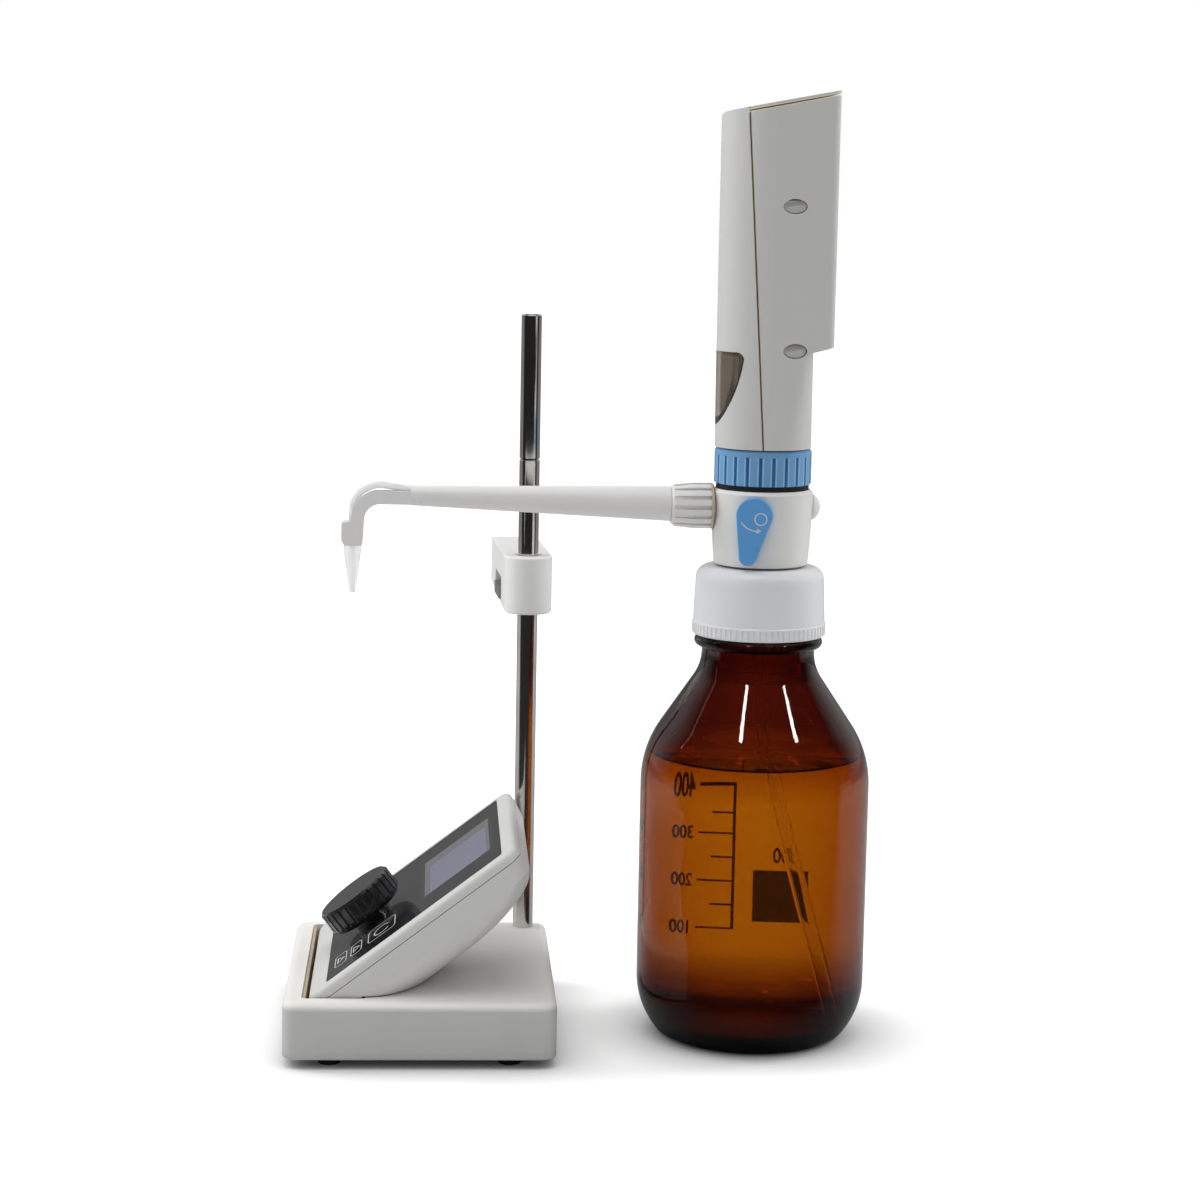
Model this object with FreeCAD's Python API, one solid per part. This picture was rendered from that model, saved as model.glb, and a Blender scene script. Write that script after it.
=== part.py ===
import FreeCAD, Part
import math
import os

# Electronic bottle-top burette: a motor-driven dispensing head screwed onto an amber
# laboratory bottle, and beside it a stand whose base holds the tilted control unit.
# Millimetres. The origin is the centre of the bottle's foot on the table, +Z is up,
# the discharge arm points along -X and the front of the set faces -Y.

# Bottle
bottle_r = 43.2
bottle_foot_r = 32.5
bottle_wall = 2.6
bottle_floor = 3.2
heel_round = 31.0
heel_top_z = 22.0
heel_base_z = 1.8
shoulder_round = 40.0
shoulder_slope = 34.0
shoulder_top_z = 147.5
neck_round = 18.0
neck_r = 21.2
neck_bore_r = 15.2
bead_r = 24.1
bead_low_z = 149.2
bead_high_z = 153.6
finish_r = 21.8
rim_z = 174.0
rim_round = 1.4

# Screw collar that joins the head to the bottle, and the bush it turns round
thread_gap = 0.2
collar_rim_z = 154.0
collar_rim_r = 25.1
rib_band_height = 4.6
collar_step = 0.35
collar_shoulder_r = 24.05
collar_corner = 4.6
collar_top_z = 179.8
collar_lid = 2.3
collar_rib_count = 72
collar_rib_r = 0.42
running_gap = 0.06
seat_gap = 0.1
seal_thickness = 1.1
bush_flange = 2.0
bush_drop = 2.7
bush_neck = 1.6
spigot_r = 11.0
spigot_low_z = 168.5
clip_thickness = 1.3
clip_width = 3.0

# Valve block
block_low_z = 180.4
block_top_z = 208.8
block_low_r = 17.7
block_top_r = 19.0
block_edge = 1.2
socket_collar_r = 15.9
socket_collar_top_z = 216.8
socket_r = 13.3
socket_floor_z = 210.5
port_z = 202.0
channel_r = 1.5
chamber_r = 2.8
chamber_height = 6.5
inlet_insert_r = 5.0
ball_r = 2.2
seat_depth = 2.4
seat_low_r = 0.9

# Valve plug and lever, at an angle from the front towards the arm
lever_azimuth = 13.0
lever_tilt = 8.0
plug_r = 5.0
plug_depth = 7.0
lever_gap = 0.5
lever_thickness = 2.7
lever_head_r = 6.75
lever_head_drop = 1.5
lever_tail_r = 3.3
lever_reach = 15.4
lever_edge = 0.7

# Closing plug on the far side of the block
side_plug_r = 4.2
side_plug_head_r = 4.8
side_plug_depth = 6.0
side_plug_dome = 4.3

# Outlet fitting, nut and discharge arm
fitting_flange_r = 6.6
fitting_flange_x = 15.1
fitting_flange = 2.3
thread_r = 6.4
thread_length = 9.8
nut_r = 8.55
nut_end_r = 7.8
nut_x = 18.3
nut_length = 15.9
nut_chamfer = 1.2
nut_groove_count = 14
nut_groove_width = 1.6
nut_groove_depth = 0.7
nut_rim = 1.2
ferrule_thickness = 1.3
arm_neck_r = 4.7
arm_root_r = 6.5
arm_root_rise = 0.5
arm_tip_x = 131.0
arm_tip_r = 3.7
arm_tip_rise = 2.4
channel_half_width = 3.3
tube_r = 1.4
tube_wall = 0.5
tube_gap = 0.1
nozzle_x = 152.4
nozzle_head_low_z = 185.6
nozzle_top_r = 3.15
nozzle_end_r = 1.15
nozzle_end_z = 167.9
nozzle_spigot = 2.4
tube_mid_x = 60.0
tube_mid_rise = 1.0
tube_rise_x = 129.0
tube_rise = 4.3
tube_crest_x = 143.5
tube_crest_rise = 6.7
tube_turn_x = 152.2
tube_turn_rise = 2.6
tube_drop = 9.0
tube_bends = [120.0, 60.0, 9.5, 8.0, 20.0]

# Coupling ring between the block and the drive unit
ring_r = 18.1
ring_low_z = 210.8
ring_top_z = 223.9
ring_lip = 4.3
ring_groove_count = 23
ring_groove_width = 1.3
ring_groove_depth = 0.8
ring_plain_band = 2.4
seal_ring_r = 17.3

# Glass cylinder, its sleeve, and the piston drive
cylinder_bore_r = 10.0
cylinder_wall = 2.0
cylinder_top_z = 262.0
sleeve_wall = 1.05
sleeve_flange_r = 15.6
sleeve_flange = 2.2
neck_frame_gap = 0.9
lower_frame_z = 258.6
frame_thickness = 4.2
neck_frame_z = 225.6
neck_frame_thickness = 2.0
sight_slot_low_z = 229.0
sight_slot_half_width = 7.5
upper_frame_drop = 44.1
motor_r = 12.0
motor_length = 27.0
lead_screw_r = 2.5
journal_r = 2.0
bearing_r = 5.0
piston_r = 9.2
piston_low_z = 212.5
piston_height = 5.5
piston_seal_gap = 0.05
piston_rod_r = 5.5
piston_rod_wall = 2.3
piston_rod_floor = 4.0
piston_stroke = 40.0
nut_block_r = 8.5
nut_block_height = 6.6
guide_rod_r = 1.5
guide_rod_y = 11.5
board_x = 11.6
board_thickness = 1.6
board_half_width = 11.0
battery_thickness = 7.6
battery_half_width = 10.5
battery_socket_gap = 2.5
battery_top_inset = 4.0
charge_socket_z = 266.6
charge_socket_width = 9.0
charge_socket_height = 3.2

# Drive housing
housing_front_r = 18.4
housing_back_x = 23.6
housing_back_half = 15.6
housing_back_corner = 3.2
housing_neck_back_x = 16.2
housing_foot_back_x = 17.6
housing_neck_corner = 6.0
housing_foot_gap = 0.4
housing_foot_r = 18.2
housing_step_z = 262.0
housing_step_drop = 1.7
housing_top_z = 355.1
housing_top_slope = 11.1
housing_wall = 1.9
lid_thickness = 1.2
seam_gap = 0.4
seam_low_x = 2.3
seam_high_x = 10.6
housing_front_corner = 3.0
window_top_z = 259.8
window_low_z = 230.6
window_side_x = 9.8
window_corner = 2.6
window_gap = 0.1
window_thickness = 1.5
latch_half_width = 4.2
latch_half_height = 2.45
latch_gap = 0.25
latch_recess = 0.8
upper_latch_x = 7.4
lower_latch_x = 8.8

# Tubes that hang from the head into the bottle
intake_tube_r = 2.3
intake_tube_bore_r = 1.5
intake_tube_end_z = 7.5
intake_tube_end_x = 24.0
return_tube_r = 1.6
return_tube_bore_r = 0.9
return_tube_y = 7.4
return_tube_low_z = 140.0
intake_bend_z = 143.0
intake_mid_x = 3.4
intake_mid_z = 108.0
intake_upper_bend = 140.0
intake_lower_bend = 200.0

# Stand
stand_x = -125.5
stand_y = 8.7
base_width = 100.0
base_depth = 120.0
base_low_z = 3.5
base_top_z = 24.7
base_corner = 6.0
base_top_edge = 3.2
base_wall = 2.5
dock_offset = 6.8
dock_width = 23.4
dock_half_length = 52.8
dock_floor_z = 12.7
plate_thickness = 2.0
weight_height = 13.0
weight_gap = 0.5
foot_r = 4.0
foot_inset_x = 17.0
foot_inset_y = 10.0
foot_sink = 1.2
base_screw_r = 1.5
base_screw_head_r = 2.8
base_screw_length = 9.0
base_screw_inset_x = 11.0
base_screw_inset_y = 30.0
rod_r = 4.0
rod_inset_x = 9.5
rod_inset_y = 8.0
rod_low_z = 10.0
rod_joint_z = 213.0
rod_top_z = 269.6
rod_edge = 0.5
stud_r = 2.5
stud_length = 10.0
rod_bolt_r = 2.5
rod_bolt_head_r = 3.9

# Holder on the rod
clamp_half_width = 9.5
clamp_length = 61.5
clamp_low_z = 152.2
clamp_top_z = 175.0
clamp_rise = 4.3
clamp_turn = 3.5
clamp_edge = 1.0
slot_low_z = 155.2
slot_high_z = 164.5
slot_start = 13.0
slot_end = 40.0
slot_depth = 10.0
liner_wall = 1.2
lever_pin_r = 1.2
lever_pin_x = -4.6
lever_pin_y = 9.4
cam_lobe = 5.2
cam_round = 3.6
clamp_lever_height = 4.6
clamp_lever_end = 38.0
clamp_lever_width = 6.5
clamp_lever_proud = 0.7

# Control unit, in its own frame: u up the slope, v across, w out of the panel
panel_tilt = 37.3
panel_inset = 8.85
panel_z = 29.0
unit_low_u = -9.0
unit_run_margin = 31.99
unit_half_width = 52.0
unit_corner = 6.0
bezel_height = 3.8
bezel_edge = 2.2
bezel_skin = 2.4
shell_gap = 0.25
shell_wall = 2.2
unit_rest_z = 25.2
unit_plunge_z = 13.0
unit_step_gap = 1.4
overlay_end_inset = 5.7
overlay_half_width = 46.8
overlay_thickness = 0.95
overlay_corner = 1.5
overlay_gap = 0.1
display_length = 35.0
display_end_inset = 8.0
display_half_width = 29.0
display_window_length = 30.3
display_window_inset = 10.5
display_window_half_width = 26.3
display_thickness = 3.2
panel_board_w = -7.2
panel_board_thickness = 1.6
knob_u = 20.3
knob_r = 15.5
knob_low_w = 3.2
knob_height = 10.2
knob_rib_count = 28
knob_rib_r = 0.75
knob_chamfer = 1.0
knob_ring_r = 8.5
knob_ring_height = 1.0
knob_collar_r = 8.0
knob_collar_height = 2.0
encoder_half = 6.5
encoder_shaft_r = 3.0
cell_length = 42.0
cell_end_inset = 13.5
cell_half_width = 16.0
cell_height = 6.5
unit_screw_r = 1.3
unit_screw_head_r = 2.5
unit_screw_seat_w = -11.0
pad_r = 3.0
pad_near_x = 24.0
pad_far_x = 35.0
pad_near_y = 24.0
pad_far_y = 12.0
board_low_u = 1.0
board_end_inset = 5.0
board_side_inset = 7.0
shell_screw_low_u = 14.0
shell_screw_low_v = 36.0
shell_screw_end_inset = 11.5
shell_screw_high_v = 38.0

housing_foot_z = ring_top_z + housing_foot_gap
upper_frame_z = housing_top_z - upper_frame_drop

V = FreeCAD.Vector
X_AXIS = V(1, 0, 0)
Y_AXIS = V(0, 1, 0)
Z_AXIS = V(0, 0, 1)
nodes = {}


def rod_z(r, low, high, x=0.0, y=0.0):
    """Round bar upright at x, y."""
    return Part.makeCylinder(r, high - low, V(x, y, low), Z_AXIS)


def rod_x(r, low, high, y=0.0, z=0.0):
    """Round bar along X."""
    return Part.makeCylinder(r, high - low, V(low, y, z), X_AXIS)


def ring_z(outer, inner, low, high, x=0.0, y=0.0):
    """Upright tube."""
    return rod_z(outer, low, high, x, y).cut(rod_z(inner, low, high, x, y))


def block(x0, x1, y0, y1, z0, z1):
    """Rectangular block between two corners."""
    return Part.makeBox(x1 - x0, y1 - y0, z1 - z0, V(x0, y0, z0))


def slab(x0, x1, y0, y1, z0, z1, corner):
    """Rectangular block whose upright edges are rounded."""
    body = block(x0, x1, y0, y1, z0, z1)
    upright = [e for e in body.Edges if abs(e.tangentAt(e.FirstParameter).z) > 0.9]
    return body.makeFillet(corner, upright)


def outline(steps, place):
    """Closed wire through 2-D steps: a point ends a line, a pair (middle, end) ends an arc."""
    edges = []
    here = steps[0]
    for step in list(steps[1:]) + [steps[0]]:
        if isinstance(step[0], tuple):
            middle, end = step
            edges.append(Part.Arc(place(*here), place(*middle), place(*end)).toShape())
            here = end
        elif math.dist(here, step) > 1e-6:
            edges.append(Part.makeLine(place(*here), place(*step)))
            here = step
    return Part.Wire(edges)


def turned(steps):
    """Solid of revolution about Z from an outline in r, z."""
    face = Part.Face(outline(steps, lambda r, z: V(r, 0, z)))
    return face.revolve(V(0, 0, 0), Z_AXIS, 360)


def turned_x(steps, z):
    """Solid of revolution about the line along X at height z, from an outline in x, r."""
    face = Part.Face(outline(steps, lambda x, r: V(x, 0, z + r)))
    return face.revolve(V(0, 0, z), X_AXIS, 360)


def plate_xz(steps, y0, y1):
    """Outline in x, z given a thickness from y0 to y1."""
    face = Part.Face(outline(steps, lambda x, z: V(x, y0, z)))
    return face.extrude(V(0, y1 - y0, 0))


def plate_xy(steps, z0, z1):
    """Outline in x, y given a thickness from z0 to z1."""
    face = Part.Face(outline(steps, lambda x, y: V(x, y, z0)))
    return face.extrude(V(0, 0, z1 - z0))


def around(shape, axis_point, axis, count, start=0.0):
    """Copies of a shape evenly spaced about an axis."""
    copies = []
    for index in range(count):
        copy = shape.copy()
        copy.rotate(axis_point, axis, start + 360.0 * index / count)
        copies.append(copy)
    return Part.makeCompound(copies)


def edges_at(shape, test):
    """Edges whose every sampled point passes a test."""
    found = []
    for edge in shape.Edges:
        samples = edge.discretize(5)
        if all(test(p) for p in samples):
            found.append(edge)
    return found


def bent_wire(points, radii):
    """Straight runs joined by tangent arcs, one radius for each inner point."""
    edges = []
    here = points[0]
    for index, radius in enumerate(radii):
        corner = points[index + 1]
        into = (corner - points[index]).normalize()
        out = (points[index + 2] - corner).normalize()
        turn = into.getAngle(out)
        reach = radius * math.tan(turn / 2)
        start = corner - into * reach
        end = corner + out * reach
        inward = (out - into).normalize()
        centre = corner + inward * (radius / math.cos(turn / 2))
        middle = centre - inward * radius
        edges.append(Part.makeLine(here, start))
        edges.append(Part.Arc(start, middle, end).toShape())
        here = end
    edges.append(Part.makeLine(here, points[-1]))
    return Part.Wire(edges)


def piped(path, radius):
    """Round bar swept along a wire of runs and arcs."""
    first = path.Edges[0]
    start = first.valueAt(first.FirstParameter)
    direction = first.tangentAt(first.FirstParameter)
    circle = Part.Wire(Part.makeCircle(radius, start, direction))
    return path.makePipeShell([circle], True, False)


# Bottle
def bottle_profile(inset):
    """Radius and height of the bottle's side, from heel to neck, moved in by inset."""
    slope = math.radians(shoulder_slope)
    line_turn = math.sin(slope), math.cos(slope)
    neck_centre = neck_r + neck_round
    shoulder_centre = bottle_r - shoulder_round
    cone_top = (neck_centre - neck_round * line_turn[1],
                shoulder_top_z - neck_round * line_turn[0])
    cone_base_r = shoulder_centre + shoulder_round * line_turn[1]
    cone_base_z = cone_top[1] - (cone_base_r - cone_top[0]) / math.tan(slope)
    shoulder_z = cone_base_z - shoulder_round * line_turn[0]
    arc = shoulder_round - inset
    half = slope / 2
    middle = (shoulder_centre + arc * math.cos(half), shoulder_z + arc * math.sin(half))
    base = (shoulder_centre + arc * line_turn[1], shoulder_z + arc * line_turn[0])
    return shoulder_centre, shoulder_z, middle, base, cone_top, neck_centre


def heel_point(inset, z):
    """Point of the heel's arc at height z."""
    arc = heel_round - inset
    centre = bottle_r - heel_round
    return centre + math.sqrt(arc ** 2 - (heel_top_z - z) ** 2), z


def make_bottle():
    """Glass bottle: foot, heel, wall, sloping shoulder, neck with a bead, open mouth."""
    slope = math.radians(shoulder_slope)
    centre, shoulder_z, middle, base, cone_top, neck_centre = bottle_profile(0.0)
    half = slope / 2
    neck_middle = (neck_centre - neck_round * math.cos(half),
                   shoulder_top_z - neck_round * math.sin(half))
    heel_middle_z = (heel_top_z + heel_base_z) / 2 - 2.0
    outside = [
        (0.0, 0.0), (bottle_foot_r, 0.0),
        heel_point(0.0, heel_base_z),
        (heel_point(0.0, heel_middle_z), (bottle_r, heel_top_z)),
        (bottle_r, shoulder_z), (middle, base), cone_top,
        (neck_middle, (neck_r, shoulder_top_z)),
        (neck_r, bead_low_z),
        ((bead_r, (bead_low_z + bead_high_z) / 2), (finish_r, bead_high_z)),
        (finish_r, rim_z - rim_round),
        ((finish_r - rim_round * 0.3, rim_z - rim_round * 0.3),
         (finish_r - rim_round, rim_z)),
        (0.0, rim_z)]
    inner_r = bottle_r - bottle_wall
    centre, shoulder_z, middle, base, cone_top, neck_centre = bottle_profile(bottle_wall)
    bore_z = base[1] + (base[0] - neck_bore_r) / math.tan(slope)
    inside = [
        (0.0, bottle_floor), heel_point(bottle_wall, bottle_floor),
        (heel_point(bottle_wall, heel_middle_z), (inner_r, heel_top_z)),
        (inner_r, shoulder_z), (middle, base), (neck_bore_r, bore_z),
        (neck_bore_r, rim_z + 1.0), (0.0, rim_z + 1.0)]
    return turned(outside).cut(turned(inside))


nodes["bottle"] = make_bottle()

# Collar, seal, bush and clip
seal_low_z = rim_z + seat_gap
bush_flange_z = seal_low_z + seal_thickness
bush_top_z = bush_flange_z + bush_flange
bush_low_z = bush_flange_z - bush_drop
collar_bore_r = finish_r + thread_gap
collar_lid_z = collar_top_z - collar_lid
collar_hole_r = spigot_r + bush_neck + 2 * thread_gap
bush_bore_r = spigot_r + running_gap
bush_spigot_r = neck_bore_r - 0.6
clip_top_z = bush_low_z - seat_gap
clip_groove_r = spigot_r - 0.7


def make_collar():
    """White screw collar with a finely ribbed rim and a rounded top."""
    band_z = collar_rim_z + rib_band_height
    wall_r = collar_rim_r - collar_step
    corner_r = collar_shoulder_r - collar_corner * 0.3
    corner_z = collar_top_z - collar_corner * 0.3
    body = turned([
        (collar_bore_r, collar_rim_z), (collar_rim_r - 0.6, collar_rim_z),
        (collar_rim_r, collar_rim_z + 0.6), (collar_rim_r, band_z),
        (wall_r, band_z + 0.5), (collar_shoulder_r, collar_top_z - collar_corner),
        ((corner_r, corner_z), (collar_shoulder_r - collar_corner, collar_top_z)),
        (collar_hole_r, collar_top_z), (collar_hole_r, collar_lid_z),
        (collar_bore_r, collar_lid_z)])
    flute = rod_z(collar_rib_r, collar_rim_z - 1.0, band_z - 0.4, collar_rim_r + 0.1)
    return body.cut(around(flute, V(0, 0, 0), Z_AXIS, collar_rib_count))


nodes["bottle_collar"] = make_collar()
nodes["bottle_seal"] = ring_z(finish_r - 0.6, neck_bore_r - 0.2, seal_low_z, bush_flange_z)
nodes["swivel_bush"] = ring_z(finish_r - 0.4, bush_bore_r, bush_flange_z, bush_top_z).fuse([
    ring_z(bush_spigot_r, bush_bore_r, bush_low_z, bush_flange_z),
    ring_z(spigot_r + bush_neck, bush_bore_r, bush_top_z, block_low_z - seat_gap)])
clip_slot = block(clip_groove_r - 1.0, spigot_r + clip_width + 1.0, -2.0, 2.0,
                  clip_top_z - clip_thickness - 1.0, clip_top_z + 1.0)
nodes["retaining_clip"] = ring_z(spigot_r + clip_width - 0.7, clip_groove_r,
                                 clip_top_z - clip_thickness, clip_top_z).cut(clip_slot)

# Valve block and what is screwed into it
sleeve_r = cylinder_bore_r + cylinder_wall + running_gap + sleeve_wall
fitting_bore_r = fitting_flange_r + seat_gap
inlet_top_z = spigot_low_z + 7.0
block_middle_z = port_z - 14.0


def leaned(shape):
    """Turn a shape built facing -Y at rest to the lever's place, about the bottle's axis."""
    shape = shape.copy()
    shape.rotate(V(0, 0, port_z), Y_AXIS, lever_tilt)
    shape.rotate(V(0, 0, 0), Z_AXIS, -lever_azimuth)
    return shape


def rod_front(r, near, far):
    """Round bar along -Y at the port's height, from near to far from the bottle's axis."""
    return Part.makeCylinder(r, far - near, V(0, -near, port_z), V(0, -1, 0))


def make_block():
    """Slightly tapered valve block with its ports, plug bore, spigot and top collar."""
    body = turned([
        (0.0, spigot_low_z), (spigot_r, spigot_low_z), (spigot_r, block_low_z),
        (block_low_r - block_edge, block_low_z),
        ((block_low_r - block_edge * 0.3, block_low_z + block_edge * 0.3),
         (block_low_r, block_low_z + block_edge)),
        ((block_low_r + 0.85, port_z - 8.0), (block_top_r, block_top_z - block_edge)),
        (block_top_r - block_edge, block_top_z), (socket_collar_r, block_top_z),
        (socket_collar_r, socket_collar_top_z), (0.0, socket_collar_top_z)])
    groove = ring_z(spigot_r + 1.0, clip_groove_r, clip_top_z - clip_thickness, clip_top_z)
    tools = [
        groove,
        rod_z(socket_r, socket_floor_z, socket_collar_top_z + 1.0),
        rod_z(channel_r, spigot_low_z - 1.0, socket_floor_z + 1.0),
        rod_z(inlet_insert_r, spigot_low_z - 1.0, inlet_top_z),
        rod_z(chamber_r, inlet_top_z - 0.5, inlet_top_z + chamber_height),
        rod_x(channel_r, -block_top_r, side_plug_r, 0.0, port_z),
        rod_x(fitting_bore_r, -block_top_r - 1.0, -fitting_flange_x, 0.0, port_z),
        rod_x(nut_r + 0.25, -block_top_r - 1.0, -nut_x + 0.3, 0.0, port_z),
        rod_x(side_plug_r, block_top_r - side_plug_depth - 1.3, block_top_r + 1.0, 0.0, port_z),
        rod_x(side_plug_head_r + 0.15, block_top_r - 1.4, block_top_r + 1.0, 0.0, port_z),
        rod_x(channel_r, 0.0, block_top_r - side_plug_depth, 0.0, port_z),
        rod_z(return_tube_r, spigot_low_z - 1.0, block_low_z + 4.0, 0.0, return_tube_y),
        leaned(rod_front(plug_r + running_gap, -plug_depth, block_top_r + 1.0))]
    return body.cut(tools)


nodes["valve_block"] = make_block()

lever_back = block_top_r + lever_gap
plug = rod_front(plug_r, -plug_depth + 0.3, lever_back)
plug = plug.cut([rod_z(channel_r, port_z - plug_r - 1.0, port_z + plug_r + 1.0),
                 rod_x(channel_r, -plug_r - 1.0, 0.0, 0.0, port_z)])
nodes["valve_plug"] = leaned(plug)


def make_lever():
    """Drop-shaped lever: a wide round head, straight flanks and a narrow round end."""
    lean = math.asin((lever_head_r - lever_tail_r) / lever_reach)
    head_x, head_z = lever_head_r * math.cos(lean), lever_head_r * math.sin(lean)
    tail_x, tail_z = lever_tail_r * math.cos(lean), lever_tail_r * math.sin(lean)
    head_centre = port_z - lever_head_drop
    tail_centre = head_centre - lever_reach
    steps = [
        (-head_x, head_centre - head_z),
        ((0.0, head_centre + lever_head_r), (head_x, head_centre - head_z)),
        (tail_x, tail_centre - tail_z),
        ((0.0, tail_centre - lever_tail_r), (-tail_x, tail_centre - tail_z))]
    body = plate_xz(steps, -lever_back - lever_thickness, -lever_back)
    front = edges_at(body, lambda p: abs(p.y + lever_back + lever_thickness) < 1e-4)
    return body.makeFillet(lever_edge, front)


nodes["valve_lever"] = leaned(make_lever())

insert = rod_z(inlet_insert_r, spigot_low_z - 3.0, inlet_top_z).fuse(
    rod_z(intake_tube_bore_r, spigot_low_z - 9.0, spigot_low_z - 3.0))
seat_rise = seat_depth / (ball_r + 0.25 - seat_low_r)
seat = Part.makeCone(seat_low_r, ball_r + 0.25, seat_depth, V(0, 0, inlet_top_z - seat_depth),
                     Z_AXIS)
seat_apex_z = inlet_top_z - seat_depth - seat_low_r * seat_rise
ball_z = seat_apex_z + (ball_r + 0.03) * math.hypot(1.0, seat_rise)
nodes["inlet_seat"] = insert.cut([rod_z(0.8, spigot_low_z - 10.0, inlet_top_z), seat])
inlet_ball = Part.makeSphere(ball_r, V(0, 0, ball_z))

plug_head_x = block_top_r - 1.4
dome_height = side_plug_dome - 1.6
dome_r = (side_plug_head_r ** 2 + dome_height ** 2) / (2 * dome_height)
dome_x = plug_head_x + side_plug_dome - dome_r
dome = Part.makeSphere(dome_r, V(dome_x, 0, port_z)).common(
    rod_x(side_plug_head_r, plug_head_x, plug_head_x + side_plug_dome + 1.0, 0.0, port_z))
nodes["side_plug"] = dome.fuse(rod_x(
    side_plug_r, block_top_r - side_plug_depth - 1.2, plug_head_x, 0.0, port_z))

# Outlet fitting, ball, ferrule, nut and arm
fitting_face_x = -fitting_flange_x - fitting_flange
fitting_end_x = fitting_face_x - thread_length
ball_chamber_x = fitting_end_x + 6.5
fitting = rod_x(fitting_flange_r, fitting_face_x, -fitting_flange_x, 0.0, port_z).fuse(
    rod_x(thread_r, fitting_end_x, fitting_face_x, 0.0, port_z))
fitting = fitting.cut([
    rod_x(channel_r, fitting_end_x - 1.0, -fitting_flange_x + 1.0, 0.0, port_z),
    rod_x(chamber_r, fitting_end_x - 1.0, ball_chamber_x, 0.0, port_z)])
nodes["outlet_fitting"] = fitting
nodes["valve_balls"] = Part.makeCompound([
    inlet_ball, Part.makeSphere(ball_r, V(ball_chamber_x - ball_r - 0.1, 0, port_z))])

ferrule_x = fitting_end_x - seat_gap
ferrule_back_x = ferrule_x - ferrule_thickness
nut_end_x = -nut_x - nut_length
nut_shoulder_x = ferrule_back_x - seat_gap
nodes["arm_ferrule"] = rod_x(thread_r - 0.1, ferrule_back_x, ferrule_x, 0.0, port_z).cut(
    rod_x(arm_neck_r + running_gap, ferrule_back_x, ferrule_x, 0.0, port_z))


def make_nut():
    """Ribbed union nut, a little slimmer towards the arm."""
    bore = thread_r + 0.1
    body = turned_x([
        (nut_end_x, arm_neck_r + 0.15), (nut_end_x, nut_end_r - nut_chamfer),
        (nut_end_x + nut_chamfer, nut_end_r), (-nut_x - 7.5, nut_r),
        (-nut_x - 0.5, nut_r), (-nut_x, nut_r - 0.5), (-nut_x, bore),
        (nut_shoulder_x, bore), (nut_shoulder_x, arm_neck_r + 0.15)], port_z)
    floor_r = nut_end_r - nut_groove_depth
    groove = block(nut_end_x - 1.0, -nut_x - nut_rim, -nut_groove_width / 2,
                   nut_groove_width / 2, port_z + floor_r + 0.3, port_z + nut_r + 1.0)
    return body.cut(around(groove, V(0, 0, port_z), X_AXIS, nut_groove_count,
                           180.0 / nut_groove_count))


nodes["arm_nut"] = make_nut()

arm_root_x = nut_end_x - seat_gap
arm_root_z = port_z + arm_root_rise
arm_tip_z = port_z + arm_tip_rise
bend_top_z = port_z + 4.0
bend_low_z = port_z - 0.9
tube_path = bent_wire(
    [V(fitting_end_x - 0.6, 0, port_z), V(-tube_mid_x, 0, port_z + tube_mid_rise),
     V(-tube_rise_x, 0, port_z + tube_rise), V(-tube_crest_x, 0, port_z + tube_crest_rise),
     V(-tube_turn_x, 0, port_z + tube_turn_rise), V(-nozzle_x, 0, port_z - tube_drop),
     V(-nozzle_x, 0, nozzle_head_low_z + nozzle_spigot + 0.3)],
    tube_bends)


def make_arm():
    """Tapering closed arm that ends in an open channel bent down to the nozzle head."""
    root = Part.Wire(Part.makeCircle(arm_root_r, V(arm_root_x, 0, arm_root_z), X_AXIS))
    tip = Part.Wire(Part.makeCircle(arm_tip_r, V(-arm_tip_x, 0, arm_tip_z), X_AXIS))
    beam = Part.makeLoft([root, tip], True, True)
    neck = rod_x(arm_neck_r, arm_root_x, ferrule_x, 0.0, port_z)
    bend = plate_xz([
        (-arm_tip_x + 4.0, bend_low_z), (-141.5, bend_low_z + 0.1),
        ((-146.2, port_z - 2.4), (-148.1, port_z - 7.0)),
        (-148.75, nozzle_head_low_z), (-155.4, nozzle_head_low_z),
        (-156.6, nozzle_head_low_z + 2.0), (-156.5, port_z - 8.2),
        (-155.8, port_z - 7.4), (-153.5, port_z - 7.2), (-153.0, port_z - 5.7),
        ((-150.3, port_z + 0.4), (-143.8, bend_top_z)),
        (-arm_tip_x + 4.0, bend_top_z + 0.1)], -channel_half_width, channel_half_width)
    sides = edges_at(bend, lambda p: abs(abs(p.y) - channel_half_width) < 1e-4
                     and p.z < port_z + 3.5 and p.x < -arm_tip_x)
    bend = bend.makeFillet(0.5, sides)
    half = tube_r + 0.2
    trough = plate_xz([
        (-arm_tip_x - 1.5, bend_top_z - 2.6), (-143.0, bend_top_z - 2.8),
        ((-148.2, port_z - 1.9), (-150.4, port_z - 6.8)),
        (-160.0, port_z - 6.8), (-160.0, port_z + 14.0), (-arm_tip_x - 1.5, port_z + 14.0)],
        -half, half)
    spigot_hole = rod_z(2.05, nozzle_head_low_z - 1.0, nozzle_head_low_z + nozzle_spigot,
                        -nozzle_x)
    body = beam.fuse([neck, bend])
    return body.cut([trough, spigot_hole, piped(tube_path, tube_r + tube_gap)])


nodes["discharge_arm"] = make_arm()
nodes["discharge_tube"] = piped(tube_path, tube_r).cut(piped(tube_path, tube_r - tube_wall))
nozzle = turned([
    (0.7, nozzle_end_z), (nozzle_end_r, nozzle_end_z), (nozzle_top_r, nozzle_head_low_z - 3.0),
    (nozzle_top_r, nozzle_head_low_z - seat_gap / 2), (2.0, nozzle_head_low_z - seat_gap / 2),
    (2.0, nozzle_head_low_z + nozzle_spigot - 0.2),
    (0.9, nozzle_head_low_z + nozzle_spigot - 0.2)])
nozzle.translate(V(-nozzle_x, 0, 0))
nodes["nozzle_tip"] = nozzle

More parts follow.
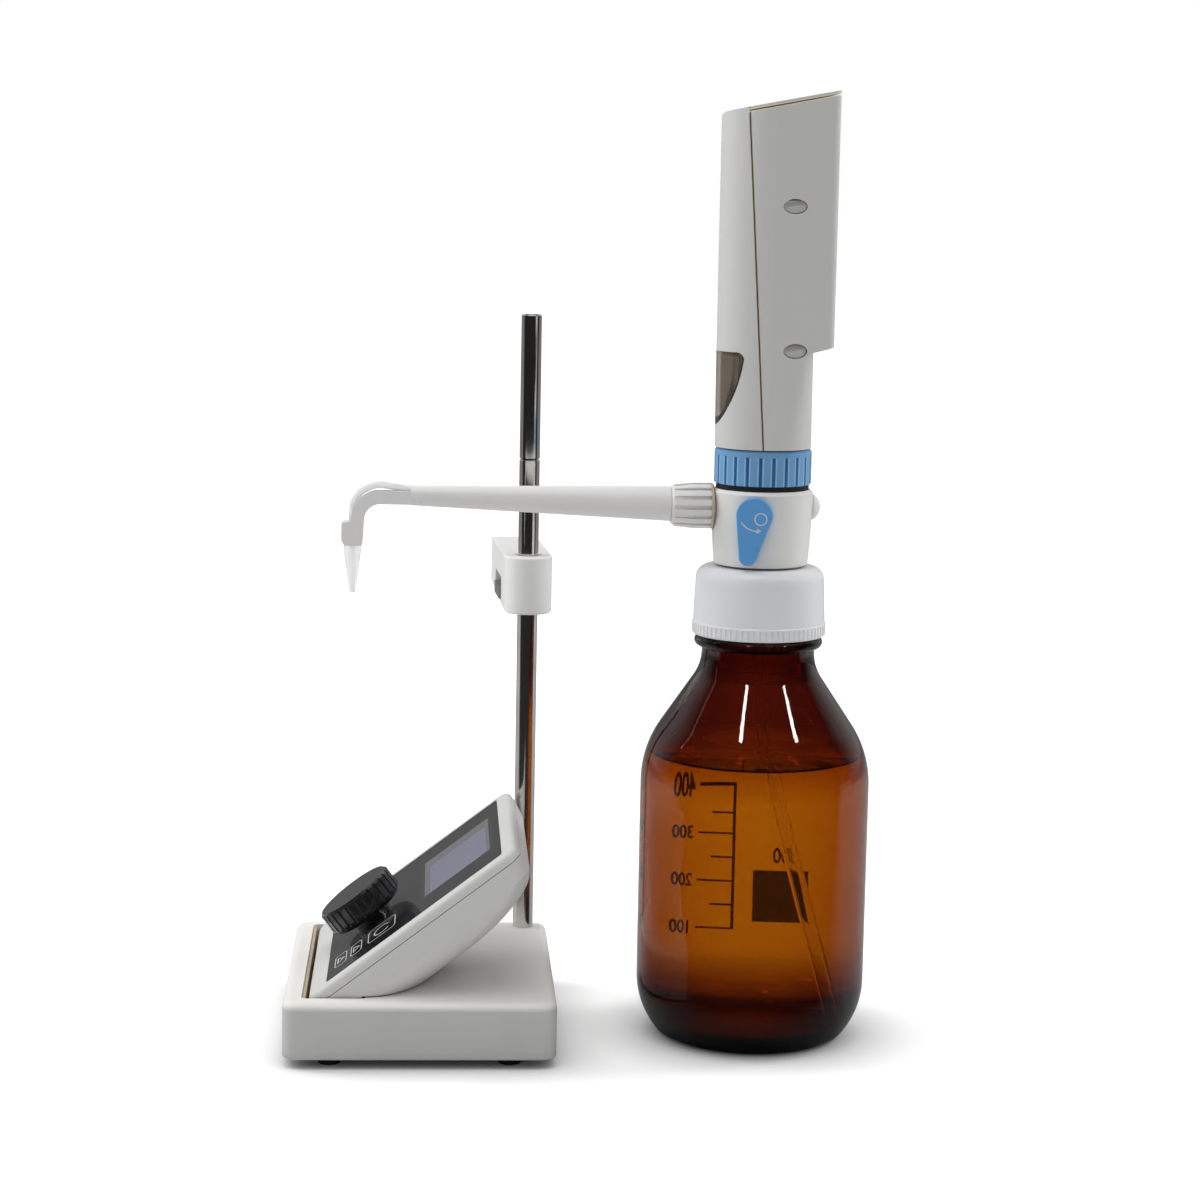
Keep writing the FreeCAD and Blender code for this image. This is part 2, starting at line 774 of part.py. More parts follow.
# Coupling ring and the black seal under it
nodes["coupling_seal"] = ring_z(seal_ring_r, socket_collar_r, block_top_z,
                                ring_low_z - seat_gap)


def make_ring():
    """Blue coupling ring: plain top band, upright grooves and an inward lip."""
    lip_z = ring_top_z - ring_lip
    body = turned([
        (socket_collar_r + 0.2, ring_low_z), (ring_r - 0.4, ring_low_z),
        (ring_r, ring_low_z + 0.4), (ring_r, ring_top_z - 0.8), (ring_r - 0.8, ring_top_z),
        (sleeve_r + 0.3, ring_top_z), (sleeve_r + 0.3, lip_z), (socket_collar_r + 0.2, lip_z)])
    half = ring_groove_width / 2
    groove = block(ring_r - ring_groove_depth, ring_r + 1.0, -half, half,
                   ring_low_z - 1.0, ring_top_z - ring_plain_band)
    return body.cut(around(groove, V(0, 0, 0), Z_AXIS, ring_groove_count, -83.5))


nodes["coupling_ring"] = make_ring()


# Drive housing: outer form, then the two shells and the window cut from it
def section(front_r, back_x, back_half, corner, z):
    """Plan outline: half-round front, straight flanks that close in, rounded back corners."""
    flank = math.atan2(front_r - back_half, back_x)
    turn = math.pi / 2 - flank
    reach = corner * math.tan(turn / 2)
    flank_end = (back_x - reach * math.cos(flank), back_half + reach * math.sin(flank))
    back_end = (back_x, back_half - reach)
    centre = (back_x - corner, back_half - reach)
    angle = math.pi / 2 - flank - turn / 2
    middle = (centre[0] + corner * math.cos(angle), centre[1] + corner * math.sin(angle))
    steps = [
        (0.0, -front_r), ((-front_r, 0.0), (0.0, front_r)), flank_end, (middle, back_end),
        (back_x, -back_end[1]), ((middle[0], -middle[1]), (flank_end[0], -flank_end[1]))]
    return outline(steps, lambda x, y: V(x, y, z))


def top_line(x, drop=0.0):
    """Height of the sloping top at x, lowered by drop."""
    slope = math.tan(math.radians(housing_top_slope))
    return housing_top_z - (housing_back_x - x) * slope - drop


def housing_form(inset, drop):
    """Solid form of the drive housing, moved in by inset and lowered at the top by drop."""
    front = housing_front_r - inset
    back = housing_back_x - inset
    half = housing_back_half - inset
    corner = max(housing_back_corner - inset, 1.0)
    low = housing_foot_z - (1.0 if inset else 0.0)
    step = housing_step_z + inset
    foot = section(housing_foot_r - inset, housing_foot_back_x - inset,
                   housing_foot_r - inset - 0.6, housing_foot_r - inset - 1.2, low)
    neck_half = front - (front - half) * (housing_neck_back_x - inset) / back
    neck = section(front, housing_neck_back_x - inset, neck_half,
                   housing_neck_corner - inset, step - housing_step_drop)
    lower = Part.makeLoft([foot, neck], True, True)
    upper_face = Part.Face(section(front, back, half, corner, step - housing_step_drop))
    upper = upper_face.extrude(V(0, 0, housing_top_z - step + 10.0))
    left = -housing_front_r - 5.0
    right = housing_back_x + 5.0
    neck_x = housing_neck_back_x - inset
    side = plate_xz([
        (left, step - housing_step_drop), (neck_x, step - housing_step_drop),
        (back, step + 0.2), (right, step + 0.2), (right, top_line(right, drop)),
        (left, top_line(left, drop))], -30.0, 30.0)
    return lower.fuse(upper.common(side))


def rounded_form():
    """Outer form with its front top corner rounded off."""
    slope = math.radians(housing_top_slope)
    left = -housing_front_r - 0.02
    reach = housing_front_corner * math.tan(math.radians(90.0 - housing_top_slope) / 2)
    low_z = top_line(left) - reach
    centre = (left + housing_front_corner, low_z)
    angle = math.pi - (math.pi / 2 - slope) / 2
    middle = (centre[0] + housing_front_corner * math.cos(angle),
              centre[1] + housing_front_corner * math.sin(angle))
    end_x = left + reach * math.cos(slope)
    far_x = housing_back_x + 8.0
    keep = plate_xz([
        (-40.0, housing_foot_z - 9.0), (-40.0, low_z), (left, low_z),
        (middle, (end_x, top_line(end_x))), (far_x, top_line(far_x)),
        (far_x, housing_foot_z - 9.0)], -35.0, 35.0)
    return housing_form(0.0, 0.0).common(keep).removeSplitter()


def region(steps):
    return plate_xz(steps, -40.0, 40.0)


seam_slope = (seam_high_x - seam_low_x) / (housing_top_z - housing_foot_z)


def seam_x(z, shift=0.0):
    """Place of the seam between the shells at height z."""
    return -seam_low_x - (z - housing_foot_z) * seam_slope + shift


def window_steps(gap):
    """Side outline of the sight window, grown by gap."""
    top = window_top_z + gap
    side = -window_side_x + gap
    corner = window_corner + gap
    low = (-housing_front_r - 1.0, window_low_z - gap)
    return [
        (-30.0, top), (side - corner, top),
        ((side - corner * 0.29, top - corner * 0.29), (side, top - corner)),
        ((side - 2.9, top - 15.0), low), (-30.0, low[1] - 18.0)]


outer_form = rounded_form()
inner_form = housing_form(housing_wall, lid_thickness + seam_gap)
housing = outer_form.cut(inner_form)
seam_top_z = top_line(seam_x(housing_top_z - 10.0), lid_thickness)
far = 60.0
front_region = region([
    (-far, housing_foot_z - 5.0), (seam_x(housing_foot_z - 5.0), housing_foot_z - 5.0),
    (seam_x(seam_top_z), seam_top_z), (far, top_line(far, lid_thickness)),
    (far, housing_top_z + 30.0), (-far, housing_top_z + 30.0)])
back_region = region([
    (seam_x(housing_foot_z - 5.0, seam_gap), housing_foot_z - 5.0), (far, housing_foot_z - 5.0),
    (far, top_line(far, lid_thickness + seam_gap)),
    (seam_x(seam_top_z, seam_gap), top_line(seam_x(seam_top_z, seam_gap),
                                            lid_thickness + seam_gap))])


def latch_hole(x, z, grow, depth):
    """Elliptical bar through both flanks at x, z."""
    width, height = latch_half_width + grow, latch_half_height + grow
    ellipse = Part.Ellipse(V(x, -depth, z), width, height).toShape()
    ellipse.rotate(V(x, -depth, z), X_AXIS, 90)
    return Part.Face(Part.Wire(ellipse)).extrude(V(0, 2 * depth, 0))


upper_latch_z = upper_frame_z + frame_thickness / 2
lower_latch_z = lower_frame_z + frame_thickness / 2
latch_holes = [latch_hole(upper_latch_x, upper_latch_z, latch_gap, 40.0),
               latch_hole(lower_latch_x, lower_latch_z, latch_gap, 40.0)]
socket_hole = slab(charge_socket_z - charge_socket_height / 2 - 0.2,
                   charge_socket_z + charge_socket_height / 2 + 0.2,
                   -charge_socket_width / 2 - 0.2, charge_socket_width / 2 + 0.2,
                   0.0, 12.0, charge_socket_height / 2)


def lying(shape, x):
    """Turn a shape drawn with X up and Z outwards so that it points along +X from x."""
    shape = shape.copy()
    shape.rotate(V(0, 0, 0), Y_AXIS, -90)
    shape.rotate(V(0, 0, 0), Z_AXIS, 180)
    shape.translate(V(x, 0, 0))
    return shape


window_region = region(window_steps(0.0))
window_opening = region(window_steps(window_gap))
nodes["front_shell"] = housing.common(front_region).cut(window_opening)
nodes["rear_shell"] = housing.common(back_region).cut(
    latch_holes + [lying(socket_hole, housing_back_x - 5.0)])
lens = outer_form.common(window_region).cut(housing_form(window_thickness, lid_thickness))
nodes["sight_window"] = lens

# Sleeve, glass cylinder and frame plates


def frame_plate(low, thickness):
    """Plate that fills the housing's plan from wall to wall."""
    face = Part.Face(section(housing_front_r - housing_wall, housing_back_x - housing_wall,
                             housing_back_half - housing_wall,
                             max(housing_back_corner - housing_wall, 1.0), low))
    return face.extrude(V(0, 0, thickness))


def latch_nubs(x, z):
    """Elliptical nubs that stand in the latch holes, sloping inwards towards the top."""
    bar = latch_hole(x, z, 0.0, 40.0)
    room = housing_form(latch_recess, lid_thickness + seam_gap)
    outer = housing_front_r - (housing_front_r - housing_back_half) * x / housing_back_x
    reach = cylinder_bore_r + cylinder_wall + 0.5
    middle = block(x - 10.0, x + 10.0, -reach, reach, z - 10.0, z + 10.0)
    cutters = [middle]
    for side in (1, -1):
        corner_points = [(outer, z - 1.0), (outer - 3.0, z + latch_half_height + 0.5),
                         (outer + 9.0, z + latch_half_height + 0.5), (outer + 9.0, z - 1.0)]
        face = Part.Face(outline(corner_points, lambda y, h: V(x - 10.0, side * y, h)))
        cutters.append(face.extrude(V(20.0, 0, 0)))
    return bar.common(room).cut(cutters)


lower_frame_top = lower_frame_z + frame_thickness
lower_plate = frame_plate(lower_frame_z, frame_thickness).common(
    rod_z(housing_front_r - housing_wall - 0.3, lower_frame_z, lower_frame_top).common(
        block(-30.0, board_x + board_thickness + 0.3, -30.0, 30.0, lower_frame_z,
              lower_frame_top)))
sleeve_low_z = socket_floor_z + 1.0
sleeve_flange_z = socket_collar_top_z + 0.2
cylinder_r = cylinder_bore_r + cylinder_wall
sleeve = ring_z(sleeve_r, cylinder_r + running_gap, sleeve_low_z, cylinder_top_z).fuse([
    ring_z(sleeve_flange_r, cylinder_r + running_gap, sleeve_flange_z,
           sleeve_flange_z + sleeve_flange),
    ring_z(housing_foot_r - housing_wall - neck_frame_gap, cylinder_r + running_gap, neck_frame_z,
           neck_frame_z + neck_frame_thickness),
    lower_plate.cut(rod_z(cylinder_r + running_gap, lower_frame_z, cylinder_top_z)),
    latch_nubs(lower_latch_x, lower_latch_z)])
sleeve = sleeve.cut([
    block(-40.0, -5.0, -sight_slot_half_width, sight_slot_half_width, sight_slot_low_z,
          lower_frame_z - 0.5),
    rod_z(piston_rod_r + 0.5, cylinder_top_z - 1.0, lower_frame_top + 1.0)])
nodes["cylinder_sleeve"] = sleeve
nodes["cylinder_seal"] = ring_z(socket_r - 0.2, channel_r + 1.0, socket_floor_z, sleeve_low_z)
nodes["glass_cylinder"] = ring_z(cylinder_r, cylinder_bore_r, sleeve_low_z, cylinder_top_z)
upper_frame_top = upper_frame_z + frame_thickness
bracket = frame_plate(upper_frame_z, frame_thickness).fuse(
    latch_nubs(upper_latch_x, upper_latch_z))
nodes["motor_bracket"] = bracket.cut(rod_z(bearing_r, upper_frame_z - 1.0, upper_frame_top + 1.0))
nodes["screw_bearing"] = ring_z(bearing_r, journal_r + running_gap, upper_frame_z,
                                upper_frame_top)
motor = rod_z(motor_r, upper_frame_top, upper_frame_top + motor_length)
nodes["drive_motor"] = motor.cut(rod_z(journal_r + running_gap, upper_frame_top - 1.0,
                                       upper_frame_top + 6.0))
lead_screw_low_z = piston_low_z + piston_height + piston_rod_floor + piston_stroke + 0.3
nodes["lead_screw"] = rod_z(lead_screw_r, lead_screw_low_z, upper_frame_z - seat_gap).fuse(
    rod_z(journal_r, upper_frame_z - seat_gap, upper_frame_top + 5.5))

# Piston, rod and travelling nut
piston_top_z = piston_low_z + piston_height
seal_z = piston_low_z + 1.4
seal_groove = ring_z(piston_r + 1.0, piston_r - 1.2, seal_z, seal_z + 2.4)
nut_block_z = lower_frame_top + 0.6
rod_top = nut_block_z
rod_bore_r = piston_rod_r - piston_rod_wall
piston = rod_z(piston_r, piston_low_z, piston_top_z).cut(seal_groove)
rod_body = rod_z(piston_rod_r, piston_top_z, rod_top).cut(
    rod_z(rod_bore_r, piston_top_z + piston_rod_floor, rod_top + 1.0))
nodes["piston"] = piston.fuse(rod_body)
nodes["piston_seal"] = ring_z(cylinder_bore_r - piston_seal_gap, piston_r - 1.2, seal_z,
                              seal_z + 2.4)
travel_nut = rod_z(nut_block_r, nut_block_z, nut_block_z + nut_block_height).fuse(
    slab(-3.4, 3.4, -guide_rod_y - 3.0, guide_rod_y + 3.0, nut_block_z,
         nut_block_z + nut_block_height, 3.0))
guide_holes = [rod_z(guide_rod_r + running_gap, nut_block_z - 1.0,
                     nut_block_z + nut_block_height + 1.0, 0.0, side * guide_rod_y)
               for side in (1, -1)]
nodes["travel_nut"] = travel_nut.cut(guide_holes + [
    rod_z(lead_screw_r + running_gap, nut_block_z - 1.0, nut_block_z + nut_block_height + 1.0)])
nodes["guide_rods"] = Part.makeCompound([
    rod_z(guide_rod_r, lower_frame_top, upper_frame_z, 0.0, side * guide_rod_y)
    for side in (1, -1)])

# Electronics of the drive
board_back_x = board_x + board_thickness
battery_low_z = charge_socket_z + charge_socket_height / 2 + battery_socket_gap
battery_high_z = upper_frame_z - battery_top_inset
nodes["drive_board"] = block(board_x, board_back_x, -board_half_width, board_half_width,
                             lower_frame_top, upper_frame_z)
nodes["drive_battery"] = slab(board_back_x, board_back_x + battery_thickness,
                              -battery_half_width, battery_half_width, battery_low_z,
                              battery_high_z, 2.0)
socket_body = slab(charge_socket_z - charge_socket_height / 2,
                   charge_socket_z + charge_socket_height / 2,
                   -charge_socket_width / 2, charge_socket_width / 2, 0.0,
                   housing_back_x - 0.3 - board_back_x, charge_socket_height / 2 - 0.05)
socket_mouth = slab(charge_socket_z - charge_socket_height / 2 + 0.5,
                    charge_socket_z + charge_socket_height / 2 - 0.5,
                    -charge_socket_width / 2 + 0.5, charge_socket_width / 2 - 0.5,
                    4.0, 30.0, charge_socket_height / 2 - 0.55)
nodes["charging_socket"] = lying(socket_body.cut(socket_mouth), board_back_x)

# Tubes in the bottle
intake_path = bent_wire(
    [V(0, 0, spigot_low_z - 3.2), V(0, 0, intake_bend_z), V(intake_mid_x, 0, intake_mid_z),
     V(intake_tube_end_x, 0, intake_tube_end_z)], [intake_upper_bend, intake_lower_bend])
intake_low_z = spigot_low_z - 3.2
intake_tube = piped(intake_path, intake_tube_r).cut(piped(intake_path, intake_tube_bore_r))
return_top_z = block_low_z + 4.0
return_tube = ring_z(return_tube_r, return_tube_bore_r, return_tube_low_z, return_top_z,
                     0.0, return_tube_y)
nodes["dip_tubes"] = Part.makeCompound([intake_tube, return_tube])

# Stand base
base_left = stand_x - base_width / 2
base_right = stand_x + base_width / 2
base_front = stand_y - base_depth / 2
base_back = stand_y + base_depth / 2
rod_x0 = base_right - rod_inset_x
rod_y0 = base_back - rod_inset_y
dock_left = base_left + dock_offset
dock_right = dock_left + dock_width
plate_top_z = base_low_z + plate_thickness
well_left = dock_right + base_wall
well_top_z = base_top_z - base_wall
corners = [(sx, sy) for sx in (-1, 1) for sy in (-1, 1)]
screw_places = [(stand_x + sx * (base_width / 2 - base_screw_inset_x),
                 stand_y + sy * (base_depth / 2 - base_screw_inset_y)) for sx, sy in corners]


def make_base_cover():
    """Base moulding with rounded edges, the dock for the control unit and a well below."""
    body = slab(base_left, base_right, base_front, base_back, base_low_z, base_top_z,
                base_corner)
    body = body.makeFillet(base_top_edge, edges_at(body, lambda p: abs(p.z - base_top_z) < 1e-4))
    body = body.makeFillet(0.8, edges_at(body, lambda p: abs(p.z - base_low_z) < 1e-4))
    dock = slab(dock_left, dock_right, stand_y - dock_half_length, stand_y + dock_half_length,
                dock_floor_z, base_top_z + 1.0, 1.5)
    plate_room = slab(base_left + base_wall, base_right - base_wall, base_front + base_wall,
                      base_back - base_wall, base_low_z - 1.0, plate_top_z,
                      base_corner - base_wall)
    well = block(well_left, base_right - 2 * base_wall, base_front + 2 * base_wall,
                 base_back - 2 * base_wall, plate_top_z - 1.0, well_top_z)
    under_dock = block(base_left + 2 * base_wall, well_left + 1.0, base_front + 2 * base_wall,
                       base_back - 2 * base_wall, plate_top_z - 1.0, dock_floor_z - base_wall)
    body = body.cut([dock, plate_room, well, under_dock,
                     rod_z(rod_r + 0.05, plate_top_z, base_top_z + 1.0, rod_x0, rod_y0)])
    posts = [rod_z(4.0, plate_top_z, (dock_floor_z if x < well_left else base_top_z) - 1.0, x, y)
             for x, y in screw_places]
    body = body.fuse(posts)
    holes = [rod_z(base_screw_r, plate_top_z - 1.0, base_low_z + base_screw_length, x, y)
             for x, y in screw_places]
    return body.cut(holes)


nodes["base_cover"] = make_base_cover()


def make_base_weight():
    """Cast weight that fills the well, with a socket for the rod."""
    gap = weight_gap
    body = block(well_left + gap, base_right - 2 * base_wall - gap,
                 base_front + 2 * base_wall + gap, base_back - 2 * base_wall - gap,
                 plate_top_z, plate_top_z + weight_height)
    posts = [rod_z(4.0 + gap, plate_top_z - 1.0, plate_top_z + weight_height + 1.0, x, y)
             for x, y in screw_places]
    return body.cut(posts + [
        rod_z(rod_r + 0.05, rod_low_z, base_top_z, rod_x0, rod_y0),
        rod_z(rod_bolt_r + 0.1, plate_top_z - 1.0, rod_low_z + 1.0, rod_x0, rod_y0),
        rod_z(rod_bolt_head_r + 0.3, plate_top_z - 1.0, plate_top_z + 2.8, rod_x0, rod_y0)])


nodes["base_weight"] = make_base_weight()
foot_places = [(stand_x + sx * (base_width / 2 - foot_inset_x),
                stand_y + sy * (base_depth / 2 - foot_inset_y)) for sx, sy in corners]
plate = slab(base_left + base_wall + 0.25, base_right - base_wall - 0.25,
             base_front + base_wall + 0.25, base_back - base_wall - 0.25, base_low_z,
             plate_top_z, base_corner - base_wall)
nodes["base_plate"] = plate.cut(
    [rod_z(foot_r + 0.05, base_low_z - 1.0, base_low_z + foot_sink, x, y) for x, y in foot_places]
    + [rod_z(base_screw_r + 0.1, base_low_z - 1.0, plate_top_z + 1.0, x, y)
       for x, y in screw_places]
    + [rod_z(base_screw_head_r + 0.1, base_low_z - 1.0, base_low_z + 1.3, x, y)
       for x, y in screw_places])
nodes["base_feet"] = Part.makeCompound([
    rod_z(foot_r, 0.0, base_low_z + foot_sink, x, y) for x, y in foot_places])
nodes["base_screws"] = Part.makeCompound([
    rod_z(base_screw_head_r, base_low_z + 0.1, base_low_z + 1.3, x, y).fuse(
        rod_z(base_screw_r, base_low_z + 1.3, base_low_z + base_screw_length, x, y))
    for x, y in screw_places])

# Rod in two lengths and the bolt that holds it
lower_rod = Part.makeCylinder(rod_r, rod_joint_z - rod_low_z, V(rod_x0, rod_y0, rod_low_z))
lower_rod = lower_rod.makeChamfer(
    rod_edge, edges_at(lower_rod, lambda p: p.z > rod_joint_z - 1e-4))
nodes["lower_rod"] = lower_rod.cut([
    rod_z(rod_bolt_r, rod_low_z - 1.0, rod_low_z + 14.0, rod_x0, rod_y0),
    rod_z(stud_r, rod_joint_z - stud_length - 1.0, rod_joint_z + 1.0, rod_x0, rod_y0)])
upper_rod = Part.makeCylinder(rod_r, rod_top_z - rod_joint_z, V(rod_x0, rod_y0, rod_joint_z))
upper_rod = upper_rod.makeChamfer(rod_edge, edges_at(
    upper_rod, lambda p: p.z > rod_top_z - 1e-4 or p.z < rod_joint_z + 1e-4))
nodes["upper_rod"] = upper_rod.fuse(
    rod_z(stud_r, rod_joint_z - stud_length, rod_joint_z, rod_x0, rod_y0))
nodes["rod_bolt"] = rod_z(rod_bolt_head_r, plate_top_z, plate_top_z + 2.6, rod_x0, rod_y0).fuse(
    rod_z(rod_bolt_r, plate_top_z + 2.6, rod_low_z + 13.0, rod_x0, rod_y0))


# Holder on the rod, drawn about the rod and pointing along +Y, then turned
liner_r = rod_r + running_gap + liner_wall


def at_rod(shape):
    """Carry a shape drawn about the rod to its place and turn it by the holder's angle."""
    shape = shape.copy()
    shape.rotate(V(0, 0, 0), Z_AXIS, clamp_turn)
    shape.translate(V(rod_x0, rod_y0, 0))
    return shape


def make_clamp():
    """Holder: half-round front about the rod, long flat flanks, underside rising backwards."""
    half = clamp_half_width
    plan = plate_xy([(half, 0.0), (half, clamp_length), (-half, clamp_length), (-half, 0.0),
                     ((0.0, -half), (half, 0.0))][:-1] + [((0.0, -half), (half, 0.0))],
                    clamp_low_z, clamp_top_z)
    wedge = Part.Face(Part.Wire(Part.makePolygon([
        V(-half - 5, -5.0, clamp_low_z - 5.0), V(-half - 5, -5.0, clamp_low_z),
        V(-half - 5, clamp_length + 5.0, clamp_low_z + clamp_rise),
        V(-half - 5, clamp_length + 5.0, clamp_low_z - 5.0),
        V(-half - 5, -5.0, clamp_low_z - 5.0)]))).extrude(V(2 * half + 10, 0, 0))
    body = plan.cut(wedge).removeSplitter()
    body = body.makeFillet(clamp_edge, edges_at(body, lambda p: p.z > clamp_top_z - 1e-4
                                                or p.z < clamp_low_z + clamp_rise + 0.5))
    pocket = block(-half - 1.0, -half + slot_depth, slot_start, slot_end, slot_low_z,
                   slot_high_z)
    cam_room = rod_z(cam_lobe + 0.35, slot_low_z, slot_high_z, lever_pin_x, lever_pin_y)
    throat = block(-half + 2.0, lever_pin_x + cam_lobe, lever_pin_y, slot_start + 1.0,
                   slot_low_z, slot_high_z)
    return body.cut([
        rod_z(liner_r + running_gap, clamp_low_z - 1.0, clamp_top_z + 1.0), pocket, throat,
        cam_room.common(block(-half + 1.2, 5.0, 0.0, 20.0, slot_low_z, slot_high_z)),
        rod_z(lever_pin_r, slot_low_z - 1.6, slot_high_z + 6.0, lever_pin_x, lever_pin_y)])


def make_clamp_lever():
    """Cam lever: a round hub with one lobe on the rod, and a flat thumb bar."""
    low, high = slot_low_z + 0.15, slot_low_z + 0.15 + clamp_lever_height
    hub = rod_z(cam_round, low, high, lever_pin_x, lever_pin_y)
    to_rod = math.atan2(-lever_pin_y, -lever_pin_x)
    lobe_shift = cam_lobe - cam_round
    lobe = rod_z(cam_round, low, high, lever_pin_x + lobe_shift * math.cos(to_rod),
                 lever_pin_y + lobe_shift * math.sin(to_rod))
    link = slab(lever_pin_x - 2.6, lever_pin_x + 3.4, lever_pin_y, slot_start + 8.0, low, high, 1.6)
    left = -clamp_half_width - clamp_lever_proud
    bar = slab(left, left + clamp_lever_width, slot_start + 0.8, clamp_lever_end, low, high, 1.6)
    return hub.fuse([lobe, link, bar]).cut(
        rod_z(lever_pin_r + running_gap, low - 1.0, high + 1.0, lever_pin_x, lever_pin_y))


nodes["rod_clamp"] = at_rod(make_clamp())
nodes["clamp_liner"] = ring_z(liner_r, rod_r + running_gap, clamp_low_z + 0.2,
                              clamp_top_z - 0.2, rod_x0, rod_y0)
nodes["clamp_lever"] = at_rod(make_clamp_lever())
nodes["clamp_lever_pin"] = at_rod(rod_z(lever_pin_r, slot_low_z - 1.5, slot_high_z + 5.8,
                                        lever_pin_x, lever_pin_y))

# Control unit
panel_x = dock_left + panel_inset
unit_high_u = (base_width - unit_run_margin) / math.cos(math.radians(panel_tilt))
overlay_length = unit_high_u - overlay_end_inset
display_high_u = unit_high_u - display_end_inset
display_low_u = display_high_u - display_length
display_window_high_u = unit_high_u - display_window_inset
display_window_low_u = display_window_high_u - display_window_length
cell_high_u = unit_high_u - cell_end_inset
cell_low_u = cell_high_u - cell_length
tilt = math.radians(panel_tilt)


def on_panel(shape):
    """Carry a shape drawn in u, v, w to the tilted panel on the stand."""
    shape = shape.copy()
    shape.rotate(V(0, 0, 0), Y_AXIS, -panel_tilt)
    shape.translate(V(panel_x, stand_y, panel_z))
    return shape


def off_panel(shape):
    """Bring a shape drawn in the room into the panel's own frame."""
    shape = shape.copy()
    shape.translate(V(-panel_x, -stand_y, -panel_z))
    shape.rotate(V(0, 0, 0), Y_AXIS, panel_tilt)
    return shape


def plan_wire(inset, high_u, half_width, corner, w):
    """Rounded rectangle across the unit at height w over the panel."""
    low, high, half = unit_low_u + inset, high_u - inset, half_width - inset
    corner = corner - inset
    near = min(4.0, corner)
    far_k = corner * (1 - math.sqrt(0.5))
    near_k = near * (1 - math.sqrt(0.5))
    steps = [
        (low + near, -half), (high - corner, -half),
        ((high - far_k, -half + far_k), (high, -half + corner)), (high, half - corner),
        ((high - far_k, half - far_k), (high - corner, half)), (low + near, half),
        ((low + near_k, half - near_k), (low, half - near)), (low, -half + near),
        ((low + near_k, -half + near_k), (low + near, -half))]
    return outline(steps, lambda u, v: V(u, v, w))


belly_sections = [(-bezel_height - shell_gap, unit_high_u, unit_half_width, unit_corner),
                  (-11.0, unit_high_u - 1.0, unit_half_width, unit_corner + 3.0),
                  (-15.5, unit_high_u - 4.3, 50.2, 15.0), (-19.5, unit_high_u - 8.2, 45.4, 22.0),
                  (-22.8, unit_high_u - 13.2, 38.2, 24.0), (-25.4, unit_high_u - 19.9, 28.6, 21.0),
                  (-27.4, unit_high_u - 30.5, 17.6, 14.0), (-28.6, unit_high_u - 43.5, 8.0, 6.0)]


def unit_form(inset):
    """Back of the control unit: upright sides, then a belly that closes in downwards."""
    open_top = 1.0 if inset else 0.0
    first = belly_sections[0]
    wall = Part.makeLoft([plan_wire(inset, first[1], first[2], first[3], first[0] + open_top),
                          plan_wire(inset, *belly_sections[1][1:], belly_sections[1][0])],
                         True, True)
    belly = Part.makeLoft([plan_wire(inset, high, half, corner, w + (inset if w < -12 else 0))
                           for w, high, half, corner in belly_sections[1:]], True, False)
    room_low = unit_rest_z + inset
    step_x = dock_right - unit_step_gap - inset
    keep = block(panel_x - 30.0, step_x, stand_y - 80.0, stand_y + 80.0,
                 unit_plunge_z + inset, panel_z + 120.0).fuse(
        block(step_x - 1.0, panel_x + 140.0, stand_y - 80.0, stand_y + 80.0,
              room_low, panel_z + 120.0))
    return wall.fuse(belly).common(off_panel(keep))


shell_screw_high_u = unit_high_u - shell_screw_end_inset
screw_spots = [(shell_screw_low_u, side * shell_screw_low_v) for side in (-1, 1)]
screw_spots += [(shell_screw_high_u, side * shell_screw_high_v) for side in (-1, 1)]


def make_back_shell():
    """Hollow back of the control unit with four screw wells and a socket opening."""
    body = unit_form(0.0).cut(unit_form(shell_wall))
    seat = unit_screw_seat_w
    posts = [rod_z(unit_screw_head_r + 1.6, seat - 14.0, seat + 1.6, u, v)
             for u, v in screw_spots]
    posts = Part.makeCompound(posts).common(unit_form(0.3))
    wells = [rod_z(unit_screw_head_r + 0.15, seat - 20.0, seat, u, v) for u, v in screw_spots]
    holes = [rod_z(unit_screw_r + 0.1, seat - 1.0, seat + 3.0, u, v) for u, v in screw_spots]
    return body.fuse(posts).cut(wells + holes)


nodes["unit_back_shell"] = on_panel(make_back_shell())


def make_bezel():
    """Front frame: rounded border, sunk bed for the overlay, openings and screw posts."""
    body = slab(unit_low_u, unit_high_u, -unit_half_width, unit_half_width, -bezel_height, 0.0,
                unit_corner)
    body = body.makeFillet(bezel_edge, edges_at(body, lambda p: abs(p.z) < 1e-4))
    gap = overlay_gap
    bed = slab(-gap, overlay_length + gap, -overlay_half_width - gap, overlay_half_width + gap,
               -overlay_thickness, 1.0, overlay_corner)
    hollow = slab(unit_low_u + shell_wall, unit_high_u - shell_wall,
                  -unit_half_width + shell_wall, unit_half_width - shell_wall,
                  -bezel_height - 1.0, -bezel_skin, unit_corner - shell_wall)
    window = block(display_window_low_u - 0.6, display_window_high_u + 0.6,
                   -display_window_half_width - 0.6, display_window_half_width + 0.6,
                   -bezel_skin - 1.0, 1.0)
    posts = [rod_z(3.0, unit_screw_seat_w + 1.8, -bezel_skin + 0.2, u, v) for u, v in screw_spots]
    posts = Part.makeCompound(posts)
    body = body.cut([bed, hollow, window,
                     rod_z(encoder_shaft_r + 0.8, -bezel_height, 1.0, knob_u, 0.0)]).fuse(posts)
    holes = [rod_z(unit_screw_r, unit_screw_seat_w, -bezel_skin - 0.4, u, v)
             for u, v in screw_spots]
    return body.cut(holes)


